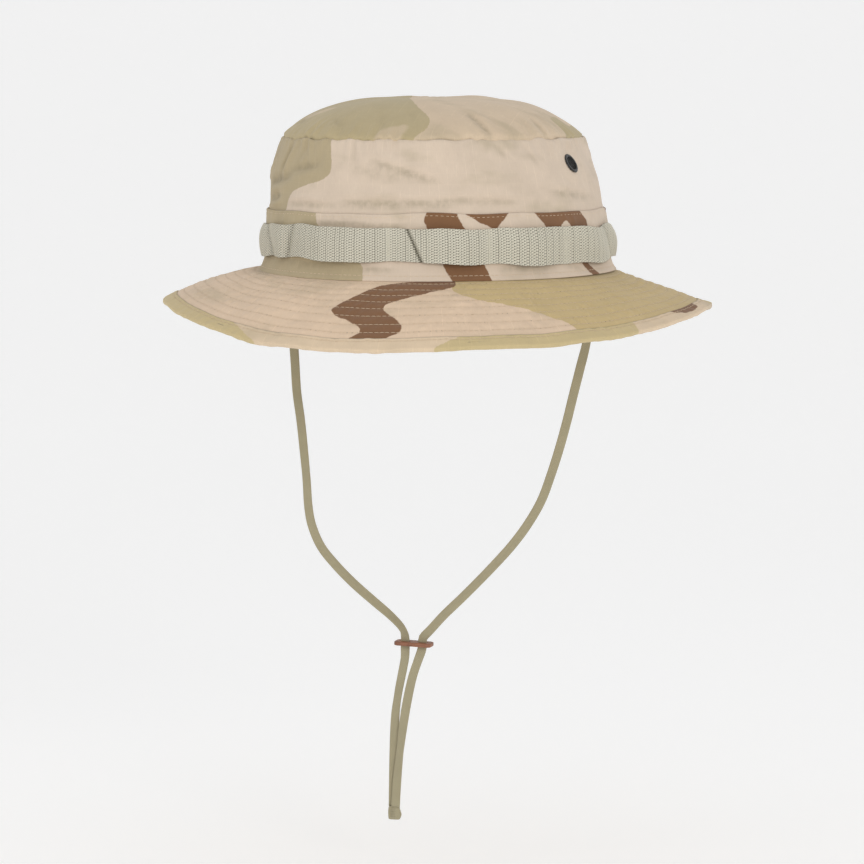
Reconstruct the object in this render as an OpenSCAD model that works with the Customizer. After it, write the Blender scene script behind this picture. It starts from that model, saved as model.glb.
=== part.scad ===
// Boonie hat with a foliage band, screened vents and a chin strap with a leather slide.
// Origin: centre of the head opening, in the plane where the crown meets the brim.
// +Z is up, the front of the hat faces -Y, and angles run from the front towards +X.

/* [Crown] */
// Half of the crown's outside length at the brim, front to back
crown_half_len = 104.5; // [98:0.5:108]
// Half of the crown's outside width at the brim
crown_half_wid = 93; // [88:0.5:97]
// Height of the side wall, from the brim to the top seam
wall_h = 71.5; // [66:0.5:84]
// How far the top seam is drawn in from the foot of the crown
wall_taper = 10.5; // [4:0.5:15]
// Height at which the side wall starts to draw in
taper_from = 20; // [10:1:30]
// Rise of the domed top above its seam
dome_h = 22; // [12:1:26]
// Height of the sewn strip round the foot of the crown
band_h = 35; // [32:1:42]
// Height of the sweatband
sweatband_h = 31; // [25:1:36]

/* [Brim] */
// Width of the brim from the crown to its edge
brim_w = 58.5; // [52:0.5:66]
// Mean droop of the brim below level, in degrees
droop_mean = 28; // [15:1:35]
// Extra droop at the front and back, taken off at the sides
droop_saddle = 8; // [0:0.5:12]
// Difference in droop between the two front quarters
front_lean = 4.5; // [0:0.5:6]
// Size of the slow ripple round the front of the brim, in degrees
front_ripple = 3; // [0:0.5:4]
// Width of the binding folded over the brim's edge
binding_w = 7.5; // [6:0.5:14]
// Distance between rows of brim stitching
row_gap = 6; // [5:0.5:10]
// Number of rows of brim stitching inside the binding
row_count = 8; // [3:1:8]

/* [Cloth] */
// Thickness of one layer of cloth
cloth_t = 0.7; // [0.4:0.1:0.8]
// Thickness of the stiffening between the brim's two covers
interlining_t = 0.7; // [0.5:0.1:1.2]
// Width a line of thread covers
thread_w = 0.7; // [0.4:0.1:1]

/* [Foliage band] */
// Width of the webbing
web_w = 18; // [15:1:25]
// Thickness of the webbing
web_t = 1.5; // [1:0.1:2]
// Height of the webbing's lower edge above the brim
web_z = 7.5; // [4:0.5:8]
// How far the widest loop stands off the crown
loop_rise = 3.5; // [1:0.5:6]

/* [Vents] */
// Outside radius of a vent eyelet's flange
vent_r = 5.8; // [5.2:0.1:8]
// Radius of the eyelet's barrel
barrel_r = 4.3; // [4:0.1:4.5]
// Height of the vents' centres
vent_z = 58; // [52:1:60]

/* [Chin strap] */
// Width of the flat tape
strap_w = 5; // [4:0.5:5.5]
// Thickness of the tape
strap_t = 1.4; // [0.8:0.1:1.5]
// Length of the leather slide
slide_len = 21; // [20:0.5:26]
// Depth of the leather slide, front to back
slide_depth = 10; // [8:0.5:14]
// Thickness of the leather
slide_t = 2.6; // [2:0.1:3.5]

/* [Hidden] */

$fn = 48;
segs = 72;                      // steps round each cloth ring
web_segs = 144;                 // steps round the looped webbing
ply_gap = 0.1;                  // space left between neighbouring layers
foot_z = 0.3;                   // lower edge of the crown's layers above the brim plane
taper_power = 1.3;
dome_power = 3.5;
dome_round = 0.9;
dome_steps = [0.06, 0.3, 0.55, 0.72, 0.85, 0.94];
seam_allowance = 6;
tape_t = 0.6;                   // thickness of the binding tapes

// Depth of each layer of the crown inside the outer face of its lower strip
wall_off = cloth_t + ply_gap;
wall_in = wall_off + cloth_t;
sweat_off = wall_in + ply_gap;
sweat_t = 1.2;
sweat_in = sweat_off + sweat_t;

// Depth of each layer of the brim below its upper face
brim_gap = 0.35;                // space between the brim's layers, whose facets are twisted
interlining_d = cloth_t + brim_gap;
lower_d = interlining_d + interlining_t + brim_gap;
brim_t = lower_d + cloth_t;
brim_under = -sweat_in / brim_w;
brim_steps = [brim_under, 0, 0.25, 0.5, 1 - binding_w / brim_w, 1];
root_slope = 0.75;              // share of the droop reached where the brim starts
binding_out = 0.7;              // how far the binding stands past the brim's edge
first_row = 5;                  // first stitching row's distance from the crown

// Angles at which the webbing is tacked down, leaving loops between
tack_angles = [-73, -40, 1, 9, 33, 62, 92, 125, 157, 190, 222, 255];
widest_loop = 41;
web_gap = 0.35;                 // space between the webbing and the crown at a tack
tack_w = 1.6;
tack_t = 0.5;
vent_angles = [75, 118, -79, -121]; // two vents on each side, not quite alike

// Routes of the tape, top to bottom
left_route = [
    [-86.5, 0, -1], [-86, 0, -12], [-84.5, 0, -26], [-83, 0, -40], [-82, 0, -54],
    [-81, 0, -70], [-78.8, 0, -86], [-77, 0, -103], [-75.5, 0, -119], [-74.5, 0, -134],
    [-72.3, 0, -145], [-67, 0, -156.5], [-58, 0, -167], [-48, 0, -176.5], [-37, 0, -185.5],
    [-27, 0, -193.5], [-20.6, 0, -200], [-18.8, 0, -204.5], [-18.7, 0, -208.4]
];
right_route = [
    [86.5, 0, -1], [86.5, 0, -12], [85.8, 0, -26], [83.5, 0, -40], [80, 0, -54],
    [76.2, 0, -69], [72.5, 0, -84], [68.3, 0, -99], [63.8, 0, -113], [58.5, 0, -127],
    [51, 0, -140], [42.5, 0, -151.5], [33.2, 0, -162], [23.5, 0, -172.2], [13.5, 0, -182.3],
    [3.5, 0, -192], [-4.2, 0, -200.5], [-8.4, 0, -205], [-8.7, 0, -208.4]
];
left_tail_route = [
    [-18.7, 0, -208.6], [-18.7, 0, -212], [-18.9, 0, -217], [-20.3, 0, -224.5], [-22.6, 0, -236],
    [-24.3, 0, -248], [-25, 0, -262], [-25.4, 0, -278], [-25.6, 0, -290], [-25.8, 0, -300.5]
];
right_tail_route = [
    [-8.7, 0, -208.6], [-9.2, -0.1, -212], [-11.3, -0.4, -218], [-14.2, -1, -227],
    [-16.8, -1.6, -239], [-18.8, -2, -251], [-20.6, -2, -264], [-22.2, -2, -278],
    [-23.2, -2, -290], [-23.8, -2, -300.5]
];
slot_x = [-18.7, -8.7];
slide_x = (slot_x[0] + slot_x[1]) / 2;
slide_z = -208.5;
slot_clear = 0.35;
route_sides = 8;
anchor_x = 89.2;

function flatten(lists) = [for (l = lists, p = l) p];
function unit(v) = v / norm(v);

// One point of the crown's foot oval, and the direction straight out from it
function oval(t) = [crown_half_wid * sin(t), -crown_half_len * cos(t)];
function outward(t) = unit([crown_half_len * sin(t), -crown_half_wid * cos(t)]);

// How far the crown's wall has drawn in at a height
function inset(z) =
    wall_taper * pow(max(0, (z - taper_from) / (wall_h - taper_from)), taper_power);

// A point of the crown's wall, set in from its outer face by off
function wall_point(t, z, off) = concat(oval(t) - outward(t) * (inset(z) + off), z);
function wall_ring(z, off, n = segs) = [for (i = [0:n - 1]) wall_point(360 * i / n, z, off)];

// A ring of the domed top, at a share r of the seam's size, lowered by d
function dome_ring(r, d) = [
    for (i = [0:segs - 1])
        let (p = wall_point(360 * i / segs, wall_h, wall_off))
        [p[0] * r, p[1] * r, wall_h + ply_gap + dome_h * pow(1 - pow(r, dome_power), dome_round) - d]
];

// Droop of the brim round the hat: a saddle, with a slow ripple that fades towards the back
function droop(t) =
    droop_mean + droop_saddle * cos(2 * t) + sin(t)
    + (1 + cos(t)) / 2 * (front_lean * sin(2 * t) - front_ripple * sin(4 * t));

// A point of the brim at share u of its width, depth d below its upper face
function brim_point(t, u, d) =
    let (
        mean = u < 0 ? 0 : droop(t) * (root_slope + (1 - root_slope) * u),
        slope = u < 0 ? 0 : droop(t) * (root_slope + 2 * (1 - root_slope) * u),
        out = brim_w * u * cos(mean) - d * sin(slope)
    )
    concat(oval(t) + outward(t) * out, -brim_w * max(u, 0) * sin(mean) - d * cos(slope));
function brim_ring(u, d) = [for (i = [0:segs - 1]) brim_point(360 * i / segs, u, d)];

// Stand-off of the webbing between the two tacks on either side of an angle
function loop_lift(t) =
    let (
        ends = concat(tack_angles, tack_angles[0] + 360),
        a = t < tack_angles[0] ? t + 360 : (t >= tack_angles[0] + 360 ? t - 360 : t),
        k = max([for (i = [0:len(tack_angles) - 1]) if (ends[i] <= a) i]),
        span = ends[k + 1] - ends[k],
        share = (a - ends[k]) / span
    )
    span < 12 ? 0 : loop_rise * span / widest_loop * pow(sin(180 * share), 2);
function web_ring(z, off) = [
    for (i = [0:web_segs - 1])
        let (t = 360 * i / web_segs)
        wall_point(t, z, -off - loop_lift(t))
];

// A solid through a stack of rings with the same number of points. Rings go up the
// outside and down the inside; without a wrap the first and last are capped.
module ring_solid(rings, wrap = true) {
    n = len(rings[0]);
    k = len(rings);
    walls = [
        for (j = [0:wrap ? k - 1 : k - 2], i = [0:n - 1])
            let (a = j * n, b = ((j + 1) % k) * n, i2 = (i + 1) % n)
            each [[a + i, b + i, b + i2], [a + i, b + i2, a + i2]]
    ];
    caps = wrap ? [] : [[for (i = [0:n - 1]) i], [for (i = [n - 1:-1:0]) (k - 1) * n + i]];
    polyhedron(points = flatten(rings), faces = concat(walls, caps), convexity = 6);
}

// A cloth layer that follows the crown's wall through the heights zs
module wall_layer(zs, off, t) {
    n = len(zs);
    ring_solid(concat(
        [for (z = zs) wall_ring(z, off)],
        [for (i = [n - 1:-1:0]) wall_ring(zs[i], off + t)]
    ));
}

// A cloth layer of the brim, from depth d0 down to depth d1
module brim_layer(us, d0, d1) {
    n = len(us);
    ring_solid(concat(
        [for (u = us) brim_ring(u, d1)],
        [for (i = [n - 1:-1:0]) brim_ring(us[i], d0)]
    ));
}

// A line of thread along the crown's wall at height z, standing out from off
module wall_thread(z, off, side = 1) {
    ring_solid(side > 0
        ? [wall_ring(z - thread_w / 2, off), wall_ring(z, off - thread_w * 0.6),
           wall_ring(z + thread_w / 2, off)]
        : [wall_ring(z + thread_w / 2, off), wall_ring(z, off + thread_w * 0.6),
           wall_ring(z - thread_w / 2, off)]);
}

// Children drawn on the crown's wall, with +Z straight out of it
module on_wall(t, z) {
    p = wall_point(t, z, wall_off);
    q = wall_point(t, z + 1, wall_off);
    n = outward(t);
    tilt = atan2(norm([p[0] - q[0], p[1] - q[1]]), 1);
    translate(p) rotate([0, 0, atan2(n[1], n[0])]) rotate([0, 90 - tilt, 0]) children();
}

module crown_top() {
    color([0.76, 0.69, 0.55]) ring_solid(concat(
        [for (r = dome_steps) dome_ring(r, cloth_t)],
        [wall_ring(wall_h - cloth_t, wall_in + ply_gap + cloth_t),
         wall_ring(wall_h - seam_allowance, wall_in + ply_gap + cloth_t),
         wall_ring(wall_h - seam_allowance, wall_in + ply_gap),
         wall_ring(wall_h + ply_gap, wall_in + ply_gap),
         wall_ring(wall_h + ply_gap, wall_off)],
        [for (i = [len(dome_steps) - 1:-1:0]) dome_ring(dome_steps[i], 0)]
    ), wrap = false);
}

module crown_side_wall() {
    color([0.84, 0.77, 0.68]) difference() {
        wall_layer([foot_z, taper_from, 27, band_h, 46, 57, 67, wall_h], wall_off, cloth_t);
        for (t = vent_angles) on_wall(t, vent_z) cylinder(r = barrel_r + 0.2, h = 6, center = true);
    }
}

module crown_band() {
    color([0.84, 0.77, 0.68]) wall_layer([foot_z, taper_from, 27, band_h], 0, cloth_t);
}

module crown_seam_binding() {
    color([0.66, 0.6, 0.45])
        wall_layer([wall_h - seam_allowance - 1.5, wall_h - 1.5],
                   wall_in + 2 * ply_gap + cloth_t, tape_t);
}

module back_seam_tape() {
    color([0.66, 0.6, 0.45]) intersection() {
        wall_layer([sweatband_h + 1, 46, 57, wall_h - seam_allowance - 3], sweat_off, tape_t);
        translate([-5, 0, 0]) cube([10, 150, 100]);
    }
}

module foliage_band() {
    top = web_z + web_w;
    color([0.75, 0.73, 0.65]) ring_solid([
        web_ring(web_z, web_gap + web_t), web_ring(top, web_gap + web_t),
        web_ring(top, web_gap), web_ring(web_z, web_gap)
    ]);
}

module foliage_band_tacks() {
    out = web_gap + web_t + 0.15;
    color([0.7, 0.68, 0.58]) for (t = tack_angles) {
        p = wall_point(t, web_z + 1, -out);
        n = outward(t);
        translate(p) rotate([0, 0, atan2(n[1], n[0])])
            translate([0, -tack_w / 2, 0]) cube([tack_t, tack_w, web_w - 2]);
    }
}

module brim_upper() {
    color([0.86, 0.77, 0.65]) brim_layer(brim_steps, 0, cloth_t);
}

module brim_interlining() {
    color([0.85, 0.82, 0.74])
        brim_layer([for (u = brim_steps) if (u >= 0) u], interlining_d, interlining_d + interlining_t);
}

module brim_lower() {
    color([0.82, 0.73, 0.6]) brim_layer(brim_steps, lower_d, brim_t);
}

module brim_edge_binding() {
    u0 = 1 - binding_w / brim_w;
    u1 = 1 + 0.1 / brim_w;
    u2 = 1 + binding_out / brim_w;
    t = tape_t;
    skin = brim_gap;
    color([0.85, 0.76, 0.62]) ring_solid([
        brim_ring(u0, brim_t + skin + t), brim_ring(u2, brim_t + skin + t), brim_ring(u2, -skin - t),
        brim_ring(u0, -skin - t), brim_ring(u0, -skin), brim_ring(u1, -skin),
        brim_ring(u1, brim_t + skin), brim_ring(u0, brim_t + skin)
    ]);
}

// Rows of thread round the brim, and the row that holds its binding
module brim_stitching() {
    rows = [for (i = [0:row_count - 1]) [first_row + i * row_gap, 0.05]];
    hold = [[brim_w - binding_w + 1.8, brim_gap + tape_t + 0.1]];
    color([0.8, 0.73, 0.6]) for (r = concat(rows, hold)) {
        half = thread_w / 2;
        ring_solid([
            brim_ring((r[0] - half) / brim_w, -r[1]), brim_ring((r[0] + half) / brim_w, -r[1]),
            brim_ring(r[0] / brim_w, -r[1] - thread_w * 0.6)
        ]);
    }
}

// Topstitching along both edges of the crown's lower strip
module crown_stitching() {
    color([0.8, 0.73, 0.6]) {
        wall_thread(2.5, -0.05);
        wall_thread(band_h - 2.5, -0.05);
    }
}

module sweatband() {
    color([0.72, 0.66, 0.52]) wall_layer([foot_z, taper_from, 27, sweatband_h], sweat_off, sweat_t);
}

module sweatband_stitching() {
    color([0.8, 0.73, 0.6]) wall_thread(sweatband_h - 2.5, sweat_in + 0.05, side = -1);
}

// Rolled metal eyelet: a rounded flange outside and a barrel through the cloth
module vent_eyelet(k) {
    color([0.12, 0.11, 0.1]) on_wall(vent_angles[k], vent_z) rotate_extrude() polygon([
        [3.5, 0.45], [3.5, 0.8], [4.1, 1.15], [vent_r - 0.9, 1.1], [vent_r, 0.7], [vent_r, 0.35],
        [barrel_r, 0.35], [barrel_r, -2.75], [barrel_r + 0.9, -2.75], [barrel_r + 0.9, -3.1],
        [barrel_r - 0.5, -3.1], [barrel_r - 0.5, 0.45]
    ]);
}

module vent_washer(k) {
    color([0.16, 0.15, 0.13]) on_wall(vent_angles[k], vent_z) translate([0, 0, -2.6])
        difference() {
            cylinder(r = vent_r - 0.6, h = 0.8);
            translate([0, 0, -1]) cylinder(r = barrel_r + 0.1, h = 3);
        }
}

// Disc of crossed wires behind the eyelet's lip
module vent_screen(k) {
    wire = 0.35;
    color([0.2, 0.19, 0.17]) on_wall(vent_angles[k], vent_z) intersection() {
        translate([0, 0, 0]) cylinder(r = barrel_r - 0.55, h = 0.4);
        union() for (i = [-3:3]) {
            translate([i * 1.15 - wire / 2, -barrel_r, 0]) cube([wire, 2 * barrel_r, 0.4]);
            translate([-barrel_r, i * 1.15 - wire / 2, 0]) cube([2 * barrel_r, wire, 0.4]);
        }
    }
}

module blank_label() {
    color([0.82, 0.8, 0.74]) intersection() {
        wall_layer([36, 46, 57, 62], sweat_off, 0.3);
        translate([-16, -150, 0]) cube([32, 150, 100]);
    }
}

// End of the tape, folded and sewn to the sweatband
module strap_anchor(side) {
    color([0.67, 0.64, 0.52]) translate([side * anchor_x - 0.5, -strap_w / 2, 0.4])
        cube([1, strap_w, 9]);
}

// Flat tape swept along a route, with its width across the route
module tape(route) {
    n = len(route);
    rings = [for (i = [0:n - 1])
        let (
            ahead = unit(route[min(i + 1, n - 1)] - route[max(i - 1, 0)]),
            across = unit(cross(ahead, [0, 1, 0])),
            face = unit(cross(across, ahead))
        )
        [for (s = [0:route_sides - 1])
            let (a = 360 * (s + 0.5) / route_sides)
            route[i] + across * strap_w * 0.54 * cos(a) + face * strap_t * 0.54 * sin(a)]
    ];
    ring_solid(rings, wrap = false);
}

module chin_strap_left() { color([0.67, 0.64, 0.52]) tape(left_route); }
module chin_strap_right() { color([0.67, 0.64, 0.52]) tape(right_route); }
module strap_tail_left() { color([0.67, 0.64, 0.52]) tape(left_tail_route); }
module strap_tail_right() { color([0.67, 0.64, 0.52]) tape(right_tail_route); }

// Both ends of the tape, folded over and sewn together
module strap_end_tack() {
    foot = left_tail_route[len(left_tail_route) - 1];
    color([0.62, 0.58, 0.46]) translate([foot[0] - 2.4, foot[1] - 2.8, foot[2] - 7.4])
        cube([6.6, 3.6, 7.2]);
}

// Leather tab with a slot for each side of the tape
module leather_slide() {
    slot = [strap_w + 2 * slot_clear + 0.4, strap_t + 2 * slot_clear, slide_t + 2];
    end_r = 2.5;
    color([0.5, 0.3, 0.22]) difference() {
        translate([slide_x, 0, slide_z - slide_t / 2]) linear_extrude(slide_t) union() {
            square([slide_len, slide_depth - 2 * end_r], center = true);
            square([slide_len - 2 * end_r, slide_depth], center = true);
            for (x = [-1, 1], y = [-1, 1])
                translate([x * (slide_len / 2 - end_r), y * (slide_depth / 2 - end_r)]) circle(end_r);
        }
        for (x = slot_x) translate([x, 0, slide_z]) cube(slot, center = true);
    }
}

crown_top();
crown_side_wall();
crown_band();
crown_seam_binding();
back_seam_tape();
foliage_band();
foliage_band_tacks();
brim_upper();
brim_interlining();
brim_lower();
brim_edge_binding();
brim_stitching();
crown_stitching();
sweatband();
sweatband_stitching();
vent_eyelet(0);  // vent_eyelet_1
vent_eyelet(1);  // vent_eyelet_2
vent_eyelet(2);  // vent_eyelet_3
vent_eyelet(3);  // vent_eyelet_4
vent_washer(0);  // vent_washer_1
vent_washer(1);  // vent_washer_2
vent_washer(2);  // vent_washer_3
vent_washer(3);  // vent_washer_4
vent_screen(0);  // vent_screen_1
vent_screen(1);  // vent_screen_2
vent_screen(2);  // vent_screen_3
vent_screen(3);  // vent_screen_4
blank_label();
strap_anchor(-1);  // strap_anchor_left
strap_anchor(1);  // strap_anchor_right
chin_strap_left();
chin_strap_right();
strap_tail_left();
strap_tail_right();
strap_end_tack();
leather_slide();
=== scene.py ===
"""A boonie hat in desert camouflage cloth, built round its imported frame.

The front of the hat faces -Y, +X is to the wearer's left and +Z is up. Sizes are in millimetres
until a mesh is made, and angles run from the front towards +X.
"""

import math

import bmesh
import bpy
import numpy as np
from mathutils import Matrix, Vector


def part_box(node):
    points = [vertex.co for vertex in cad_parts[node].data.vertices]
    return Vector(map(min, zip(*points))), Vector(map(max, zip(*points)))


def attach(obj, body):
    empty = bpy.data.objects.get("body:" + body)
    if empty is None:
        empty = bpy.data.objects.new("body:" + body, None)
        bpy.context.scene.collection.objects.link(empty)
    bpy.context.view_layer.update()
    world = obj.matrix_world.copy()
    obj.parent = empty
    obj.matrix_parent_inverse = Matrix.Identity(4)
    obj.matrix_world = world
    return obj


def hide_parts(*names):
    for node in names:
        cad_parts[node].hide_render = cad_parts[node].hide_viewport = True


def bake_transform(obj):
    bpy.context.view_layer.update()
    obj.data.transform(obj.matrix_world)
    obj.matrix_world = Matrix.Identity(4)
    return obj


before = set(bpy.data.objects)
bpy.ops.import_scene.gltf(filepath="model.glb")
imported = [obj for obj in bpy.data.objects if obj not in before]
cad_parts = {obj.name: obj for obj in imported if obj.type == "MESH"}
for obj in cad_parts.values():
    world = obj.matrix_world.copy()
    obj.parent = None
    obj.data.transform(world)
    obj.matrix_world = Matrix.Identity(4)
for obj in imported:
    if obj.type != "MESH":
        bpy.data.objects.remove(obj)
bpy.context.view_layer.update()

MM = 0.001
HAT, STRAP, SLIDE = "hat", "chin_strap", "strap_slide"

# Crown, as in the part
CROWN_LEN, CROWN_WID = 104.5, 93.0
WALL_H, WALL_TAPER, TAPER_FROM, TAPER_POWER = 71.5, 10.5, 20.0, 1.3
DOME_H, DOME_POWER, DOME_ROUND = 21.6, 3.5, 0.9
STRIP_H, SWEATBAND_H = 33.2, 31.0
CROWN_LEAN = 2.5
FLARE, FLARE_FROM = 3.6, 10.0
STRIP_FOOT = -0.4
FOOT_Z = 0.3
CLOTH_T, PLY_GAP = 0.7, 0.1
WALL_OUT = -(CLOTH_T + PLY_GAP)
SWEAT_OUT = WALL_OUT - CLOTH_T - PLY_GAP

# Brim, as in the part
BRIM_W, BINDING_W = 58.5, 7.6
BINDING_START = BRIM_W - BINDING_W
DROOP, SADDLE, FRONT_LEAN, FRONT_RIPPLE = 28.0, 8.0, 4.5, 3.0
ROOT_SLOPE = 0.75
BRIM_T = 1.9
BRIM_ROWS = [6.3, 12, 17, 22.3, 28, 34, 40.5, 46.5]
BINDING_ROW = BINDING_START + 1.9

# Webbing
WEB_W, WEB_T, WEB_Z, LOOP_RISE = 17.6, 1.1, 7.6, 3.4
TACKS = [-76, -53, -38, 1, 9, 33, 62, 92, 125, 157, 190, 222, 255]
LAP = 9
# How far some lines of tacking lean from foot to top, in degrees
SLANTS = {-53: 7.0, -38: -3.0, LAP: 4.5, 92: 11.0}
# Depth and half width, in degrees, of the creases beside some tacks, pressed a little into the webbing and
# darkened with painted shade
SHADED_CREASES = {-53: (0.15, 1.7), -38: (0.2, 1.4), LAP: (0.42, 0.6), 92: (0.16, 1.5)}
# The webbing's edges wander a little, as (degrees from the front, rise in millimetres)
WEB_TOP = [
    (-115, 0), (-94, -4.2), (-81, -4.4), (-73, -1.6), (-64, 0.6), (-45, 1.1), (-19, 1.3), (-2, 0.3),
    (8, 0.3), (17, 1.0), (33, -0.4), (47, 1.4), (62, -0.3), (82, -1.0), (92, 0.2), (97, -0.8),
    (103, -3.2), (111, -4.6), (122, -2.0), (138, 0),
]
WEB_FOOT = [
    (-115, 0), (-90, 2.6), (-79, 2.4), (-68, 1.1), (-50, 1.4), (-23, 1.4), (-2, 0.4), (8, 0.9),
    (17, 0.8), (33, -1.0), (47, -0.6), (62, -2.6), (82, -1.6), (96, -1.2), (108, -0.9), (122, -0.2),
    (135, 0),
]
# The outermost loop on each side: its bearing and half width in degrees
OUTERMOST = [(-67, 9), (106, 10)]
WIDEST_LOOP = 41      # degrees between the tacks of the widest loop, which rises most
WEB_CORDS, WEB_KNOTS = 440, 13    # cords round the hat and knots across the webbing

# Vents
VENT_Z, VENT_ANGLES, SCREEN_R = 58.0, [75, 118, -79, -121], 3.9
VENT_TIP = math.radians(13)    # how far a vent tips back from the wall

# Chin strap
TAPE_W, TAPE_T = 5.0, 1.1
ANCHOR_X = 89.1
END_X, END_Y, END_TOP, END_H = -24.9, -1.0, -300.2, 7.6    # the sewn end of both tapes
LEFT_ROUTE = [
    (-86.5, 0, -1), (-86, 0, -12), (-84.5, 0, -26), (-83, 0, -40), (-82, 0, -54),
    (-81, 0, -70), (-78.8, 0, -86), (-77, 0, -103), (-75.5, 0, -119), (-74.5, 0, -134),
    (-72.3, 0, -145), (-67, 0, -156.5), (-58, 0, -167), (-48, 0, -176.5), (-37, 0, -185.5),
    (-27, 0, -193.5), (-20.6, 0, -200), (-18.8, 0, -204.5), (-18.7, 0, -208.4),
]
RIGHT_ROUTE = [
    (86.5, 0, -1), (86.5, 0, -12), (85.8, 0, -26), (83.5, 0, -40), (80, 0, -54),
    (76.2, 0, -69), (72.5, 0, -84), (68.3, 0, -99), (63.8, 0, -113), (58.5, 0, -127),
    (51, 0, -140), (42.5, 0, -151.5), (33.2, 0, -162), (23.5, 0, -172.2), (13.5, 0, -182.3),
    (3.5, 0, -192), (-4.2, 0, -200.5), (-8.4, 0, -205), (-8.7, 0, -208.4),
]
LEFT_TAIL = [
    (-18.7, 0, -208.6), (-18.7, 0, -212), (-18.9, 0, -217), (-20.3, 0, -224.5), (-22.6, 0, -236),
    (-24.3, 0, -248), (-25, 0, -262), (-25.4, 0, -278), (-25.6, 0, -290), (-25.8, 0, -300.5),
]
RIGHT_TAIL = [
    (-8.7, 0, -208.6), (-9.2, -0.1, -212), (-11.3, -0.4, -218), (-14.2, -1, -227),
    (-16.8, -1.6, -239), (-18.8, -2, -251), (-20.6, -2, -264), (-22.2, -2, -278),
    (-23.2, -2, -290), (-23.8, -2, -300.5),
]
# Turn of the tape's width out of the strap's plane, in degrees, at shares of its length
LEFT_TURN = [(0, 90), (0.1, 70), (0.22, 12), (0.5, -8), (0.7, 6), (0.88, 34), (0.97, 58), (1, 20)]
RIGHT_TURN = [(0, 90), (0.1, 70), (0.22, 14), (0.5, 4), (0.8, -6), (0.95, -12), (1, 0)]
LEFT_TAIL_TURN = [(0, 20), (0.08, -10), (0.35, -22), (0.62, 24), (0.85, 10), (1, 0)]
RIGHT_TAIL_TURN = [(0, 0), (0.12, 25), (0.4, 12), (0.66, -24), (0.85, -8), (1, 0)]

# Leather slide: its thickness as a share of the part's, and its tilt on the tape in degrees
SLIDE_THIN, SLIDE_TILT = 0.86, 2.2

# Camera: its bearing, elevation and distance, what it looks at, and how wide its view is there
CAM_BEARING, CAM_HEIGHT, CAM_DISTANCE = 15.0, 3.0, 2100.0
CAM_TARGET = (-3.2, -90.5)
CAM_VIEW = 475.2
FLOOR_Z = -335.0


def srgb(*channels):
    """A screen colour, 11 to 255 in each channel, as the linear colour that a shader takes."""
    return tuple(((c / 255 + 0.055) / 1.055) ** 2.4 for c in channels)


TAN, KHAKI, BROWN = srgb(214, 196, 176), srgb(180, 164, 132), srgb(128, 92, 63)
# The top, brim and binding are the crown's own cloth. Their tans and khakis are painted light: lighter or
# darker copies, each set to how that piece looks under the light.
TOP_TAN_AS_LIT, TOP_KHAKI_AS_LIT = srgb(213, 192, 165), srgb(184, 168, 131)
BRIM_TAN_AS_LIT, BRIM_KHAKI_AS_LIT = srgb(222, 197, 170), srgb(199, 176, 128)
BINDING_TAN_AS_LIT, BINDING_KHAKI_AS_LIT = srgb(219, 197, 168), srgb(200, 181, 137)
OLIVE = srgb(166, 154, 124)
# The webbing's hole colour is painted shade for its grooves and pinholes.
WEB_LIGHT, WEB_HOLE_SHADE = srgb(216, 211, 194), srgb(88, 84, 70)
THREAD, WEB_THREAD = srgb(216, 194, 164), srgb(206, 201, 182)
TAPE, TAPE_DARK = srgb(181, 172, 143), srgb(128, 120, 93)
LINING, LINING_DARK = srgb(168, 156, 118), srgb(140, 128, 94)
CANVAS, CANVAS_DARK = srgb(214, 208, 190), srgb(190, 182, 160)
LABEL, LABEL_DARK = srgb(214, 208, 194), srgb(200, 194, 180)
LEATHER, LEATHER_EDGE = srgb(158, 108, 82), srgb(104, 68, 52)
METAL = srgb(34, 33, 32)


# ---------------------------------------------------------------- camera, lights and stage

def rad(degrees):
    return np.radians(degrees)


def place_camera():
    """The camera stands a little above the brim's height and looks at the whole hat."""
    az, el = math.radians(CAM_BEARING), math.radians(CAM_HEIGHT)
    eye = Vector((math.sin(az) * math.cos(el), -math.cos(az) * math.cos(el), math.sin(el))) * CAM_DISTANCE
    target = Vector((CAM_TARGET[0] * math.cos(az), CAM_TARGET[0] * math.sin(az), CAM_TARGET[1]))
    data = bpy.data.cameras.new("camera")
    data.sensor_width = 36.0
    data.lens = data.sensor_width * (target - eye).length / CAM_VIEW
    camera = bpy.data.objects.new("camera", data)
    camera.location = eye * MM
    camera.rotation_euler = (target - eye).to_track_quat("-Z", "Y").to_euler()
    bpy.context.scene.collection.objects.link(camera)
    bpy.context.scene.camera = camera


def area_light(name, place, aim, size, power):
    data = bpy.data.lights.new(name, "AREA")
    data.shape, data.size, data.energy = "DISK", size, power
    light = bpy.data.objects.new(name, data)
    light.location = place
    light.rotation_euler = (Vector(aim) - Vector(place)).to_track_quat("-Z", "Y").to_euler()
    bpy.context.scene.collection.objects.link(light)


def light_studio():
    world = bpy.context.scene.world or bpy.data.worlds.new("studio")
    bpy.context.scene.world = world
    world.use_nodes = True
    background = world.node_tree.nodes["Background"]
    background.inputs["Color"].default_value = (1.0, 1.0, 1.0, 1.0)
    background.inputs["Strength"].default_value = 0.66
    area_light("front_right", (1.7, -2.1, 0.75), (0, 0, 0), 1.0, 17.0)
    area_light("front_left", (-1.9, -1.9, 0.6), (0, 0, -0.02), 1.3, 9.0)


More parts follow.
